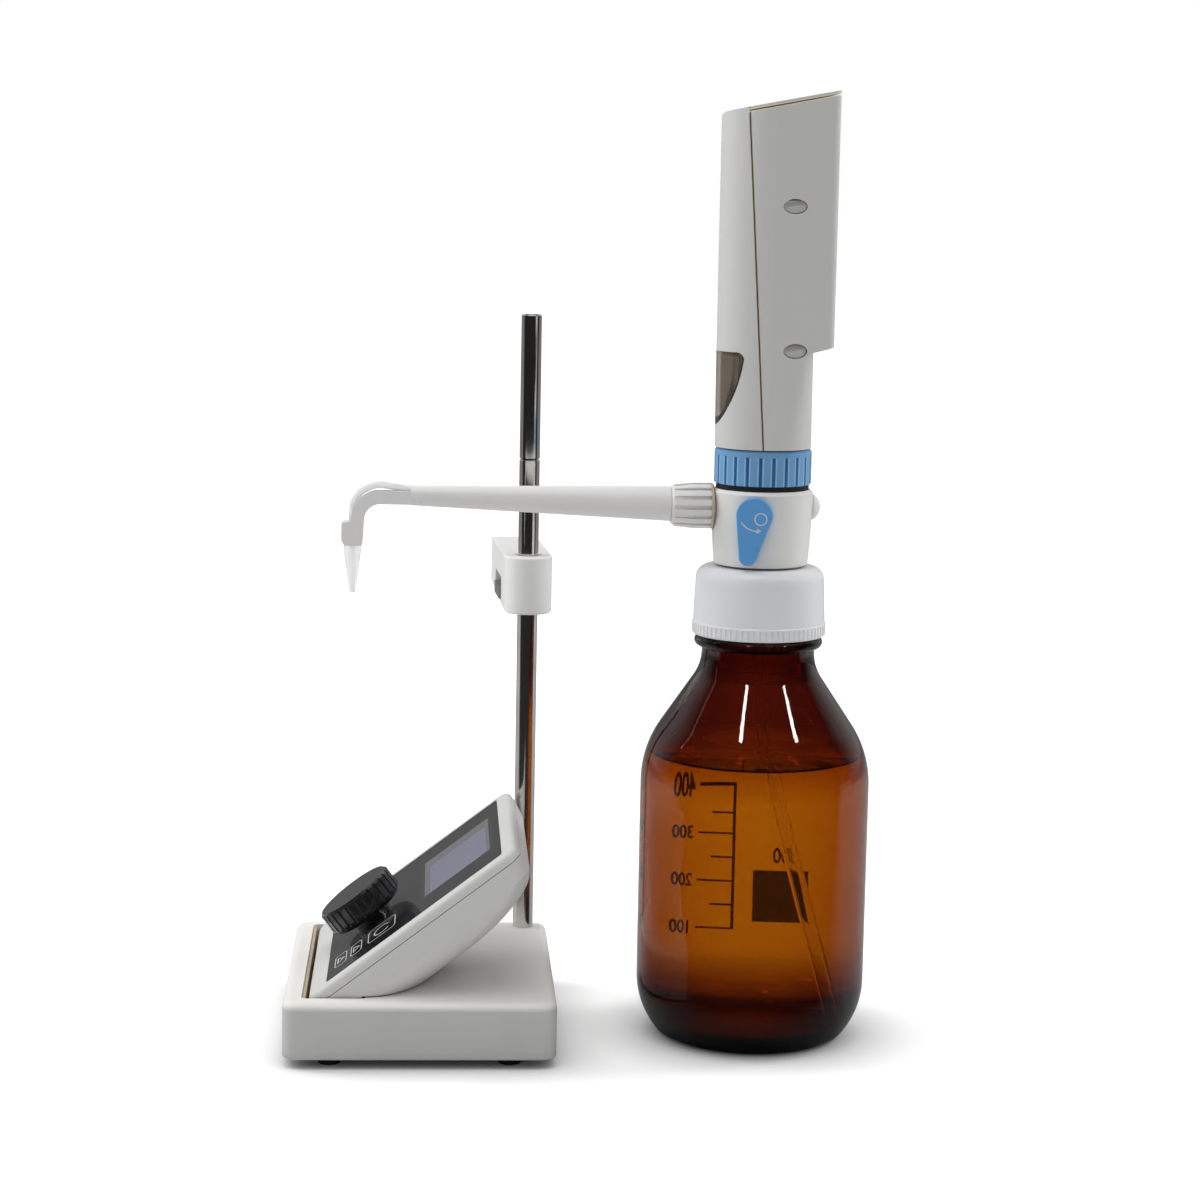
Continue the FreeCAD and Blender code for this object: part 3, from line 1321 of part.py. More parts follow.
nodes["unit_bezel"] = on_panel(make_bezel())
overlay = slab(0.0, overlay_length, -overlay_half_width, overlay_half_width,
               -overlay_thickness, 0.0, overlay_corner)
nodes["panel_overlay"] = on_panel(overlay.cut(
    rod_z(encoder_shaft_r + 0.8, -2.0, 1.0, knob_u, 0.0)))
display_top = -bezel_skin
nodes["display_module"] = on_panel(block(
    display_low_u, display_high_u, -display_half_width, display_half_width,
    display_top - display_thickness, display_top))
board_half = unit_half_width - board_side_inset
board = block(board_low_u, unit_high_u - board_end_inset, -board_half, board_half, panel_board_w,
              panel_board_w + panel_board_thickness)
nodes["unit_board"] = on_panel(board.cut(
    [rod_z(3.2, panel_board_w - 1.0, 0.0, u, v) for u, v in screw_spots]))
board_face = panel_board_w + panel_board_thickness
encoder = block(knob_u - encoder_half, knob_u + encoder_half, -encoder_half, encoder_half,
                board_face, -bezel_skin).fuse(
    rod_z(encoder_shaft_r + 0.7, -bezel_skin, knob_collar_height - 0.6, knob_u, 0.0))
encoder = encoder.fuse([
    rod_z(knob_collar_r, 0.0, knob_collar_height * 0.55, knob_u, 0.0),
    rod_z(knob_collar_r - 0.9, 0.0, knob_collar_height, knob_u, 0.0)])
nodes["knob_encoder"] = on_panel(encoder.cut(
    rod_z(encoder_shaft_r + running_gap, board_face + 1.0, 20.0, knob_u, 0.0)))
shaft_top = knob_low_w + knob_height - 2.5
shaft = rod_z(encoder_shaft_r, board_face + 1.2, shaft_top, knob_u, 0.0)
nodes["knob_shaft"] = on_panel(shaft.fuse(rod_z(
    knob_ring_r, knob_low_w - knob_ring_height, knob_low_w, knob_u, 0.0)))


def make_knob():
    """Large knob: flat top, bevelled edge, deep rounded flutes and a slim skirt."""
    top = knob_low_w + knob_height
    body = turned([
        (0.0, knob_low_w), (knob_r - 1.8, knob_low_w), (knob_r - 0.3, knob_low_w + 1.6),
        (knob_r, knob_low_w + 2.6), (knob_r, top - knob_chamfer), (knob_r - knob_chamfer, top),
        (0.0, top)])
    flute = rod_z(knob_rib_r, knob_low_w - 1.0, top + 1.0, knob_r + 0.15)
    body = body.cut(around(flute, V(0, 0, 0), Z_AXIS, knob_rib_count))
    body = body.cut(rod_z(encoder_shaft_r, knob_low_w - 1.0, shaft_top))
    body.translate(V(knob_u, 0, 0))
    return body


nodes["control_knob"] = on_panel(make_knob())
nodes["unit_battery"] = on_panel(slab(cell_low_u, cell_high_u, -cell_half_width,
                                      cell_half_width, panel_board_w - cell_height,
                                      panel_board_w, 2.0))
nodes["unit_screws"] = on_panel(Part.makeCompound([
    rod_z(unit_screw_head_r, unit_screw_seat_w - 1.6, unit_screw_seat_w, u, v).fuse(
        rod_z(unit_screw_r, unit_screw_seat_w, -bezel_skin - 0.8, u, v))
    for u, v in screw_spots]))
pad_places = [(panel_x + x, side * y) for x, y in ((pad_near_x, pad_near_y), (pad_far_x, pad_far_y))
              for side in (-1, 1)]
nodes["unit_pads"] = Part.makeCompound([
    rod_z(pad_r, base_top_z + 0.05, unit_rest_z, x, stand_y + y) for x, y in pad_places])

os.makedirs("parts", exist_ok=True)
for name, shape in nodes.items():
    shape.exportStep("parts/" + name + ".step")
    box = shape.BoundBox
    print("%-18s solids %d valid %s volume %9.1f  x %.2f %.2f  y %.2f %.2f  z %.2f %.2f" % (
        name, len(shape.Solids), shape.isValid(), shape.Volume,
        box.XMin, box.XMax, box.YMin, box.YMax, box.ZMin, box.ZMax))
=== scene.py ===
import math

import bmesh
import bpy
import numpy as np
from mathutils import Matrix, Vector


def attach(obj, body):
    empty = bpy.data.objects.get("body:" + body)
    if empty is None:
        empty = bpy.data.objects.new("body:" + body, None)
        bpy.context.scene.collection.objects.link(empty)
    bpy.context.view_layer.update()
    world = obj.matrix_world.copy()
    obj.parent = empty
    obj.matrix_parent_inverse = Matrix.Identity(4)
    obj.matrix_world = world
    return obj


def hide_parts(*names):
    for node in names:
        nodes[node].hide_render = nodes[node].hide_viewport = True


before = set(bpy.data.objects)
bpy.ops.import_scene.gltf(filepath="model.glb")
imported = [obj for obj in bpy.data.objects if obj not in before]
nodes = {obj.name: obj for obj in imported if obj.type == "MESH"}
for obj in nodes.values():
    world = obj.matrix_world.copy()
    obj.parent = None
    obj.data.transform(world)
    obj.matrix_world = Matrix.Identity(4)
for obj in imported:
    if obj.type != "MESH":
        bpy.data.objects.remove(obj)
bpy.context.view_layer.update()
mm = 0.001

# The view of the set: a long lens a metre in front of it and a little above the bench,
# turned slightly to the right and rolled by about one degree.
view_yaw = 0.0596
view_pitch = 0.1409
view_roll = 0.0188
view_place = Vector((-0.121725, -1.036116, 0.313130))
forward = Vector((math.sin(view_yaw) * math.cos(view_pitch),
                  math.cos(view_yaw) * math.cos(view_pitch), -math.sin(view_pitch)))
level_right = Vector((math.cos(view_yaw), -math.sin(view_yaw), 0.0))
level_up = level_right.cross(forward)
view_right = math.cos(view_roll) * level_right + math.sin(view_roll) * level_up
view_up = math.cos(view_roll) * level_up - math.sin(view_roll) * level_right
camera_data = bpy.data.cameras.new("camera")
camera_data.lens = 84.0
camera_data.sensor_width = 36.0
camera_data.clip_start = 0.05
camera = bpy.data.objects.new("camera", camera_data)
camera.matrix_world = (Matrix.Translation(view_place)
                       @ Matrix((view_right, view_up, -forward)).transposed().to_4x4())
bpy.context.scene.collection.objects.link(camera)
bpy.context.scene.camera = camera
bpy.context.scene.view_settings.view_transform = "Standard"


# The bench and the light: a seamless white table, a soft box on each side, a third above,
# two narrow strips that show as glints on glass, and a pale room, darker behind the viewer.
class Number:
    """A number socket of a material; each operator on it adds one Math node."""

    def __init__(self, tree, socket):
        self.tree = tree
        self.socket = socket

    def math(self, operation, *others, clamp=False):
        node = self.tree.nodes.new("ShaderNodeMath")
        node.operation = operation
        node.use_clamp = clamp
        for place, value in zip(node.inputs, (self, *others)):
            plug(self.tree, place, value)
        return Number(self.tree, node.outputs[0])

    def __add__(self, other):
        return self.math("ADD", other)

    def __radd__(self, other):
        return self.math("ADD", other)

    def __sub__(self, other):
        return self.math("SUBTRACT", other)

    def __rsub__(self, other):
        return (self * -1.0).math("ADD", other)

    def __mul__(self, other):
        return self.math("MULTIPLY", other)

    def __rmul__(self, other):
        return self.math("MULTIPLY", other)

    def __truediv__(self, other):
        return self.math("DIVIDE", other)

    def __lt__(self, other):
        return self.math("LESS_THAN", other)

    def __gt__(self, other):
        return self.math("GREATER_THAN", other)

    def __pow__(self, other):
        return self.math("POWER", other)

    def __abs__(self):
        return self.math("ABSOLUTE")

    def clamp(self):
        return self.math("ADD", 0.0, clamp=True)

    def most(self, other):
        return self.math("MAXIMUM", other)

    def between(self, low, high):
        """0 below low, 1 above high, and a straight rise between them."""
        return ((self - low) / (high - low)).clamp()


def plug(tree, place, value):
    """Give a socket a value or a link."""
    if isinstance(value, Number):
        tree.links.new(value.socket, place)
    elif isinstance(value, bpy.types.NodeSocket):
        tree.links.new(value, place)
    else:
        place.default_value = value


class Finish:
    """A node tree under way: node() adds any node, its settings first and then its sockets."""

    def __init__(self, name, tree=None):
        if tree is None:
            self.material = bpy.data.materials.new(name)
            self.material.use_nodes = True
            tree = self.material.node_tree
        self.tree = tree
        tree.nodes.clear()

    def node(self, kind, settings=None, sockets=None):
        made = self.tree.nodes.new(kind)
        for key, value in (settings or {}).items():
            setattr(made, key, value)
        for key, value in (sockets or {}).items():
            plug(self.tree, made.inputs[key], value)
        return made

    def number(self, node, output=0):
        return Number(self.tree, node.outputs[output])

    def place(self):
        """x, y and z of the piece's own coordinates, in millimetres."""
        spot = self.node("ShaderNodeTexCoord").outputs["Object"]
        parts = self.node("ShaderNodeSeparateXYZ", sockets={0: spot})
        return [self.number(parts, axis) * 1000.0 for axis in range(3)]

    def noise(self, size, detail=2.0, roughness=0.5, stretch=None):
        """Noise of 0 to 1 whose features are about size millimetres across."""
        spot = self.node("ShaderNodeTexCoord").outputs["Object"]
        if stretch:
            spot = self.node("ShaderNodeVectorMath", {"operation": "MULTIPLY"},
                             {0: spot, 1: stretch}).outputs[0]
        made = self.node("ShaderNodeTexNoise", sockets={
            "Vector": spot, "Scale": 1.0 / (size * mm), "Detail": detail,
            "Roughness": roughness})
        return self.number(made)

    def mix(self, share, low, high):
        """Colour between low and high."""
        made = self.node("ShaderNodeMix", {"data_type": "RGBA"})
        plug(self.tree, made.inputs[0], share)
        plug(self.tree, made.inputs[6], low)
        plug(self.tree, made.inputs[7], high)
        return made.outputs[2]

    def bump(self, height, depth, below=None):
        """Normal of a surface whose height of 0 to 1 stands for depth millimetres."""
        sockets = {"Height": height, "Distance": depth * mm, "Strength": 1.0}
        if below is not None:
            sockets["Normal"] = below
        return self.node("ShaderNodeBump", sockets=sockets).outputs[0]

    def crease(self, reach):
        """1 in corners and gaps narrower than reach millimetres, 0 on open faces."""
        made = self.node("ShaderNodeAmbientOcclusion", {"samples": 6},
                         {"Distance": reach * mm})
        return 1.0 - self.number(made, "AO")

    def surface(self, **sockets):
        """Close the material with one Principled shader."""
        names = {key.replace("_", " "): value for key, value in sockets.items()}
        shader = self.node("ShaderNodeBsdfPrincipled", sockets=names)
        self.end(shader.outputs[0])
        return self.material

    def end(self, shader, volume=None):
        output = self.node("ShaderNodeOutputMaterial", sockets={"Surface": shader})
        if volume is not None:
            plug(self.tree, output.inputs["Volume"], volume)


def grey(level, warmth=0.0):
    """Near-neutral colour; warmth takes a little blue away."""
    return (level, level * (1.0 - 0.3 * warmth), level * (1.0 - warmth), 1.0)


def grid_piece(name, grid, around=True, along=False, sharp=35.0):
    """Mesh over a grid of points, in metres: one face a cell, doubled points merged, faces out."""
    rows, columns = grid.shape[:2]
    row, column = np.meshgrid(np.arange(rows if along else rows - 1),
                              np.arange(columns if around else columns - 1), indexing="ij")
    next_row, next_column = (row + 1) % rows, (column + 1) % columns
    faces = np.stack([row * columns + column, row * columns + next_column,
                      next_row * columns + next_column, next_row * columns + column], -1)
    mesh = bpy.data.meshes.new(name)
    mesh.from_pydata(grid.reshape(-1, 3).tolist(), [], faces.reshape(-1, 4).tolist())
    work = bmesh.new()
    work.from_mesh(mesh)
    bmesh.ops.remove_doubles(work, verts=work.verts, dist=1e-7)
    bmesh.ops.dissolve_degenerate(work, edges=work.edges, dist=1e-8)
    bmesh.ops.recalc_face_normals(work, faces=work.faces)
    work.to_mesh(mesh)
    work.free()
    mesh.shade_smooth()
    mesh.set_sharp_from_angle(angle=math.radians(sharp))
    piece = bpy.data.objects.new(name, mesh)
    bpy.context.scene.collection.objects.link(piece)
    return piece


def bench_finish():
    """White table: it keeps its soft shadow near the set, with painted shadow where things stand on
    it, and fades into the room far off.

    Gloss sees it dark in front; the bottle's glass sees painted shade on it round its own foot."""
    finish = Finish("bench")
    x, y, _ = finish.place()
    reach = (x * x + y * y) ** 0.5
    far = reach.between(bench_near, bench_far)
    seen = finish.node("ShaderNodeLightPath")
    through = finish.number(seen, "Is Transmission Ray")
    direct = finish.number(seen, "Is Camera Ray").most(through)
    glossy = finish.number(seen, "Is Glossy Ray") * (1.0 - direct)
    in_front = (y * -1.0).between(*front_edge) * glossy
    # Painted shade: round the bottle's foot the bench is darkened for rays through the glass.
    foot = (1.0 - reach.between(*foot_edge)) * through
    # Painted contact shadow: the bench is darkened where things stand close over it.
    painted_contact_shadow = finish.crease(contact_reach)
    level = bench_bounce + direct * (bench_white - bench_bounce)
    level = level * (1.0 - in_front * front_shade) * (1.0 - foot * foot_shade)
    level = level * (1.0 - painted_contact_shadow * contact_shade) * (1.0 - glossy * (1.0 - bench_gloss))
    colour = finish.node("ShaderNodeCombineColor", sockets={0: level, 1: level, 2: level})
    cloth = finish.node("ShaderNodeBsdfDiffuse", sockets={"Color": colour.outputs[0]})
    glow = finish.node("ShaderNodeEmission", sockets={"Color": grey(1.0)})
    shine = direct * (1.0 - foot) * (bench_glow_near + far * (bench_glow_far - bench_glow_near))
    plug(finish.tree, glow.inputs["Strength"], shine * (1.0 - painted_contact_shadow))
    both = finish.node("ShaderNodeAddShader", sockets={0: cloth.outputs[0], 1: glow.outputs[0]})
    finish.end(both.outputs[0])
    return finish.material


bench_reach = 9.0
front_edge = (10.0, 70.0)
front_shade = 0.93
foot_edge = (40.0, 150.0)
foot_shade = 0.80
contact_reach = 26.0
contact_shade = 0.45
bench_near = 240.0
bench_far = 800.0
bench_bounce = 0.80
bench_white = 0.94
bench_gloss = 0.55
bench_glow_near = 0.32
bench_glow_far = 0.72
corner_x, corner_y = np.meshgrid((-bench_reach, bench_reach), (-bench_reach, bench_reach))
bench = grid_piece("bench", np.stack([corner_x, corner_y, np.zeros((2, 2))], -1), around=False)
if bench.data.polygons[0].normal.z < 0:
    bench.data.flip_normals()
bench.data.materials.append(bench_finish())


def light_room():
    """Room of soft light from both sides and above, dimmer behind the viewer and low at the back.

    The eye and clear things see it white; rough surfaces and mirrors see its dim parts."""
    world = bpy.data.worlds.new("room")
    world.use_nodes = True
    bpy.context.scene.world = world
    finish = Finish("room", world.node_tree)
    spot = finish.node("ShaderNodeTexCoord").outputs["Generated"]
    parts = finish.node("ShaderNodeSeparateXYZ", sockets={0: spot})
    depth = finish.number(parts, 1)
    height = finish.number(parts, 2)
    low = 1.0 - height.between(*room_low)
    front = (depth * -1.0).between(*room_front) * (1.0 - height.between(*room_ceiling))
    back = depth.between(*room_back) * low
    mirror = 1.0 - front * (1.0 - room_front_level) - back * (1.0 - room_back_level)
    mirror = mirror * (1.0 - low * (1.0 - room_low_level))
    soft = 1.0 - (depth * -1.0).between(*room_soft) * (1.0 - room_front_fill)
    seen = finish.node("ShaderNodeLightPath")
    plain = finish.number(seen, "Is Camera Ray").most(finish.number(seen, "Is Transmission Ray"))
    glossy = finish.number(seen, "Is Glossy Ray") * (1.0 - plain)
    fill = (1.0 - plain.most(glossy)) * soft * room_fill
    glow = finish.node("ShaderNodeBackground", sockets={"Color": grey(1.0)})
    plug(finish.tree, glow.inputs["Strength"], plain + glossy * mirror * room_gloss + fill)
    finish.node("ShaderNodeOutputWorld", sockets={"Surface": glow.outputs[0]})


room_low = (0.30, 0.70)
room_front = (-0.60, -0.20)
room_ceiling = (0.86, 0.98)
room_back = (0.80, 0.97)
room_soft = (-0.2, 0.8)
room_front_level = 0.05
room_back_level = 0.34
room_front_fill = 0.58
room_fill = 0.60
room_gloss = 0.78
room_low_level = 0.60
light_room()


def soft_box(name, place, aim, width, height, power, glint=False):
    """Soft lamp at place that faces aim; a glint lamp is seen in gloss alone."""
    data = bpy.data.lights.new(name, "AREA")
    data.shape = "RECTANGLE"
    data.size = width
    data.size_y = height
    data.energy = power
    lamp = bpy.data.objects.new(name, data)
    lamp.location = place
    lamp.rotation_euler = (Vector(aim) - Vector(place)).to_track_quat("-Z", "Y").to_euler()
    lamp.visible_diffuse = not glint
    lamp.visible_glossy = glint
    bpy.context.scene.collection.objects.link(lamp)


set_middle = (-0.06, 0.0, 0.15)
soft_box("left_box", (-0.95, 0.28, 0.65), set_middle, 0.40, 0.9, 4.6)
soft_box("top_box", (-0.20, -0.15, 1.25), set_middle, 0.9, 0.7, 3.9)
soft_box("right_box", (0.95, 0.28, 0.60), set_middle, 0.35, 0.9, 4.4)
shoulder_middle = (0.0, 0.0, 0.12)
soft_box("left_strip", (-0.31, -0.54, 1.15), shoulder_middle, 0.07, 0.30, 1.7, glint=True)
soft_box("right_strip", (0.59, -0.41, 1.08), shoulder_middle, 0.07, 0.30, 1.7, glint=True)


# The bottle: pressed amber glass with a round heel, a sloping shoulder, a short neck with a
# bead, and a plain mouth. Its wall has the faint waves of moulded glass.
def arc_between(start, middle, end, count):
    """Points of the circle through three points, from the first to the last."""
    (ax, ay), (bx, by), (cx, cy) = start, middle, end
    turn = 2.0 * (ax * (by - cy) + bx * (cy - ay) + cx * (ay - by))
    a2, b2, c2 = ax * ax + ay * ay, bx * bx + by * by, cx * cx + cy * cy
    x = (a2 * (by - cy) + b2 * (cy - ay) + c2 * (ay - by)) / turn
    y = (a2 * (cx - bx) + b2 * (ax - cx) + c2 * (bx - ax)) / turn
    first = math.atan2(ay - y, ax - x)
    halfway = (math.atan2(by - y, bx - x) - first) % (2 * math.pi)
    sweep = (math.atan2(cy - y, cx - x) - first) % (2 * math.pi)
    sweep -= 2 * math.pi * (halfway > sweep)
    angle = first + sweep * np.linspace(0.0, 1.0, count)
    r = math.hypot(ax - x, ay - y)
    return np.stack([x + r * np.cos(angle), y + r * np.sin(angle)], -1)


def profile(steps, count=14):
    """Outline in r, z through steps: a point ends a line, a pair (middle, end) ends an arc."""
    parts = [np.array([steps[0]])]
    here = steps[0]
    for step in steps[1:]:
        if isinstance(step[0], tuple):
            parts.append(arc_between(here, step[0], step[1], count)[1:])
            here = step[1]
        else:
            parts.append(np.array([step]))
            here = step
    return np.concatenate(parts)


def turned(name, outline, sides, sharp=35.0):
    """Surface of revolution about Z: each outline point (r, z, in mm) runs round a circle."""
    angle = np.linspace(0.0, 2 * math.pi, sides, endpoint=False)
    r, z = outline[:, :1], outline[:, 1:]
    grid = np.stack([r * np.cos(angle), r * np.sin(angle), z + 0 * angle], -1) * mm
    return grid_piece(name, grid, sharp=sharp)


bottle_r = 43.2
bottle_wall = 2.4
heel_round = 31.0
heel_top_z = 22.0
foot_r = 32.5
slope = math.radians(34.0)
shoulder_round = 40.0
neck_round = 18.0
neck_r = 21.2
neck_top_z = 147.5
bore_r = 15.2
rim_z = 174.0


def heel(inset, z):
    """Point of the heel's arc at height z, moved in by inset."""
    arc = heel_round - inset
    return bottle_r - heel_round + math.sqrt(arc ** 2 - (heel_top_z - z) ** 2), z


def shoulder(inset):
    """Low end, middle and top of the shoulder's arc, and the top of the cone above it."""
    centre = bottle_r - shoulder_round
    top = (neck_r + neck_round * (1.0 - math.cos(slope)), neck_top_z - neck_round * math.sin(slope))
    cone_r = centre + shoulder_round * math.cos(slope)
    low_z = top[1] - (cone_r - top[0]) / math.tan(slope) - shoulder_round * math.sin(slope)
    arc = shoulder_round - inset
    middle = (centre + arc * math.cos(slope / 2), low_z + arc * math.sin(slope / 2))
    end = (centre + arc * math.cos(slope), low_z + arc * math.sin(slope))
    return (bottle_r - inset, low_z), middle, end, top


low, middle, end, cone_top = shoulder(0.0)
neck_middle = (neck_r + neck_round * (1.0 - math.cos(slope / 2)),
               neck_top_z - neck_round * math.sin(slope / 2))
outside = profile([
    (0.0, 3.2), (20.0, 2.2), ((27.0, 1.2), (30.4, 0.1)), ((31.4, 0.0), (foot_r, 0.25)),
    heel(0.0, 1.9), (heel(0.0, 9.0), (bottle_r, heel_top_z)), low, (middle, end), cone_top,
    (neck_middle, (neck_r, neck_top_z)), (neck_r, 149.4),
    ((24.1, 151.4), (21.8, 153.5)), (21.8, rim_z - 1.4), ((21.4, rim_z - 0.4), (20.4, rim_z)),
    (16.6, rim_z), ((15.6, rim_z - 0.4), (bore_r, rim_z - 1.4))])
shoulder_wall = 5.0
cavity_low = (bottle_r - bottle_wall, low[1] - 3.0)
_, cavity_middle, _, _ = shoulder(3.5)
_, _, cavity_end, _ = shoulder(shoulder_wall)
bore_z = cavity_end[1] + (cavity_end[0] - bore_r) / math.tan(slope)


def cavity_foot(sink):
    """Inner wall from the shoulder down to the raised middle of the floor, sunk into the glass."""
    inset = bottle_wall - sink
    return profile([
        (bottle_r - inset, cavity_low[1]), (bottle_r - inset, heel_top_z + 3.0),
        ((39.6 + sink, 18.5), (36.6 + sink, 13.0 - sink)), ((33.0, 8.9 - sink), (28.0, 6.7 - sink)),
        ((25.0, 6.1 - sink), (22.0, 6.0 - sink)), (0.0, 8.4 - sink)])


inside = np.concatenate([profile([
    (bore_r, bore_z + 4.0), ((bore_r + 0.9, bore_z - 0.6), (bore_r + 4.0, bore_z - 5.6)),
    cavity_end, (cavity_middle, cavity_low)]), cavity_foot(0.0)[1:]])
bottle = turned("bottle_glass", np.concatenate([outside, inside]), 160, sharp=60.0)

amber_density = 1560.0
amber_tint = (0.815, 0.640, 0.05, 1.0)
wave_size = 34.0
wave_depth = 0.22


def glass_finish():
    """Clear glass with slow waves on its face; the amber is taken up inside the wall."""
    finish = Finish("amber_glass")
    wave = finish.noise(wave_size, 1.0, 0.4, (1.0, 1.0, 0.45))
    shader = finish.node("ShaderNodeBsdfPrincipled", sockets={
        "Base Color": grey(1.0), "Roughness": 0.0, "IOR": 1.5, "Transmission Weight": 1.0,
        "Normal": finish.bump(wave, wave_depth)})
    tint = finish.node("ShaderNodeVolumeAbsorption", sockets={
        "Color": amber_tint, "Density": amber_density})
    finish.end(shader.outputs[0], tint.outputs[0])
    return finish.material


bottle.data.materials.append(glass_finish())
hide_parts("bottle")
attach(bottle, "bench_set")


# The liquid: clear solvent that fills two thirds of the bottle and climbs the glass by a
# millimetre at its edge. It reaches a hair into the wall so that no air shows between them.
liquid_top = 107.6
liquid_sink = 0.12
wall_line = arc_between(cavity_low, cavity_middle, cavity_end, 60)
wet_line = wall_line[(wall_line[:, 1] > cavity_low[1]) & (wall_line[:, 1] < liquid_top + 1.3)]
wet_line = wet_line + (liquid_sink, 0.0)
edge_r, edge_z = wet_line[-1]
climb = (0.7, 0.95)
climb_reach = 2.6
surface_line = profile([
    (edge_r, edge_z), ((edge_r - climb[0], edge_z - climb[1]), (edge_r - climb_reach, liquid_top)),
    (0.0, liquid_top)])
liquid_line = np.concatenate([cavity_foot(liquid_sink)[::-1], wet_line, surface_line[1:]])
liquid = turned("liquid", liquid_line, 160, sharp=50.0)


def liquid_finish():
    """Clear straw-coloured solvent with a still surface."""
    finish = Finish("solvent")
    ripple = finish.noise(30.0, 1.0)
    return finish.surface(Base_Color=(1.0, 0.93, 0.80, 1.0), Roughness=0.0, IOR=1.33,
                          Transmission_Weight=1.0, Normal=finish.bump(ripple, 0.02))


liquid.data.materials.append(liquid_finish())
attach(liquid, "bench_set")


# The volume scale: dark enamel fired on the far side of the bottle, a line with long and
# short ticks, plain numbers and a blank field to write on. It is read from behind.
ink_height = 0.05


def on_bottle(u, v, height):
    """Wrap u (to the reader's right) and v (up) round the far side of the bottle, in mm."""
    angle = u / bottle_r
    r = bottle_r + height
    return np.stack([-r * np.sin(angle), r * np.cos(angle), v + 0 * u], -1) * mm


def ink_line(name, path, width, wrap, closed=False, height=ink_height):
    """Raised line: a low rectangle carried along a path in u, v and wrapped on its surface."""
    path = np.array(path, float)
    before, after = np.roll(path, 1, 0), np.roll(path, -1, 0)
    if not closed:
        before[0], after[-1] = 2 * path[0] - path[1], 2 * path[-1] - path[-2]
    first, second = path - before, after - path
    first /= np.linalg.norm(first, axis=1, keepdims=True)
    second /= np.linalg.norm(second, axis=1, keepdims=True)
    side = np.stack([-(first + second)[:, 1], (first + second)[:, 0]], -1)
    side /= np.linalg.norm(side, axis=1, keepdims=True)
    across = side[:, 0] * -first[:, 1] + side[:, 1] * first[:, 0]
    side *= (width / 2 / np.maximum(across, 0.4))[:, None]
    u = np.stack([path[:, 0] + s * side[:, 0] for s in (-1, 1, 1, -1)], -1)
    v = np.stack([path[:, 1] + s * side[:, 1] for s in (-1, 1, 1, -1)], -1)
    rise = np.array([-0.02, -0.02, height, height]) + 0 * u
    grid = wrap(u, v, rise)
    if not closed:
        ends = [np.repeat(grid[i].mean(0)[None, None], 4, 1) for i in (0, -1)]
        grid = np.concatenate([ends[0], grid, ends[1]])
    return grid_piece(name, grid, along=closed)


def ink_patch(name, path, wrap, height=ink_height, rings=1):
    """Raised patch inside a path in u, v: rings run from the underside's middle to the top's."""
    path = np.array(path, float)
    middle = path.mean(0)
    reach = np.concatenate([np.linspace(0, 1, rings + 1), np.linspace(1, 0, rings + 1)])
    rise = np.concatenate([np.full(rings + 1, -0.02), np.full(rings + 1, height)])
    u = middle[0] + reach[:, None] * (path[:, 0] - middle[0])
    v = middle[1] + reach[:, None] * (path[:, 1] - middle[1])
    return grid_piece(name, wrap(u, v, rise[:, None] + 0 * u))


def box_path(u0, u1, v0, v1, corner=0.0, split=1):
    """Rounded rectangle as a closed path; split divides its long runs so that it can wrap."""
    if corner <= 0:
        points = [(u0, v0), (u1, v0), (u1, v1), (u0, v1)]
    else:
        points = []
        for cu, cv, start in ((u1 - corner, v0 + corner, -90), (u1 - corner, v1 - corner, 0),
                              (u0 + corner, v1 - corner, 90), (u0 + corner, v0 + corner, 180)):
            for angle in np.radians(start + np.linspace(0, 90, 5)):
                points.append((cu + corner * math.cos(angle), cv + corner * math.sin(angle)))
    ends = points[1:] + points[:1]
    return [(a[0] + (b[0] - a[0]) * k / split, a[1] + (b[1] - a[1]) * k / split)
            for a, b in zip(points, ends) for k in range(split)]


def printed_number(name, digits, size, u, v, width):
    """Plain number with its left foot at u, v; the flat digits are wrapped point by point."""
    curve = bpy.data.curves.new(name, "FONT")
    curve.body = digits
    curve.size = size
    curve.extrude = ink_height / 2
    curve.offset = 0.022 * size
    curve.resolution_u = 5
    text = bpy.data.objects.new(name + "_text", curve)
    bpy.context.scene.collection.objects.link(text)
    bpy.context.view_layer.update()
    mesh = bpy.data.meshes.new_from_object(text)
    bpy.data.objects.remove(text)
    flat = np.zeros(len(mesh.vertices) * 3)
    mesh.vertices.foreach_get("co", flat)
    flat = flat.reshape(-1, 3)
    mesh.vertices.foreach_set("co", on_bottle(u + width * flat[:, 0], v + flat[:, 1],
                                              ink_height / 2 + flat[:, 2]).ravel())
    work = bmesh.new()
    work.from_mesh(mesh)
    bmesh.ops.remove_doubles(work, verts=work.verts, dist=1e-7)
    bmesh.ops.recalc_face_normals(work, faces=work.faces)
    work.to_mesh(mesh)
    work.free()
    piece = bpy.data.objects.new(name, mesh)
    bpy.context.scene.collection.objects.link(piece)
    return piece


def joined(name, pieces):
    """One piece from several separate ones."""
    work = bmesh.new()
    for piece in pieces:
        work.from_mesh(piece.data)
        bpy.data.objects.remove(piece)
    mesh = bpy.data.meshes.new(name)
    work.to_mesh(mesh)
    work.free()
    piece = bpy.data.objects.new(name, mesh)
    bpy.context.scene.collection.objects.link(piece)
    return piece


def enamel_finish():
    """Near-black fired enamel, porous and a little worn."""
    finish = Finish("fired_enamel")
    pores = finish.noise(0.35, 3.0)
    worn = finish.noise(4.0, 4.0).between(0.35, 0.75)
    return finish.surface(Base_Color=finish.mix(worn, (0.010, 0.007, 0.006, 1.0),
                                                (0.020, 0.014, 0.010, 1.0)),
                          Roughness=0.35 + worn * 0.25, Normal=finish.bump(pores, 0.01))


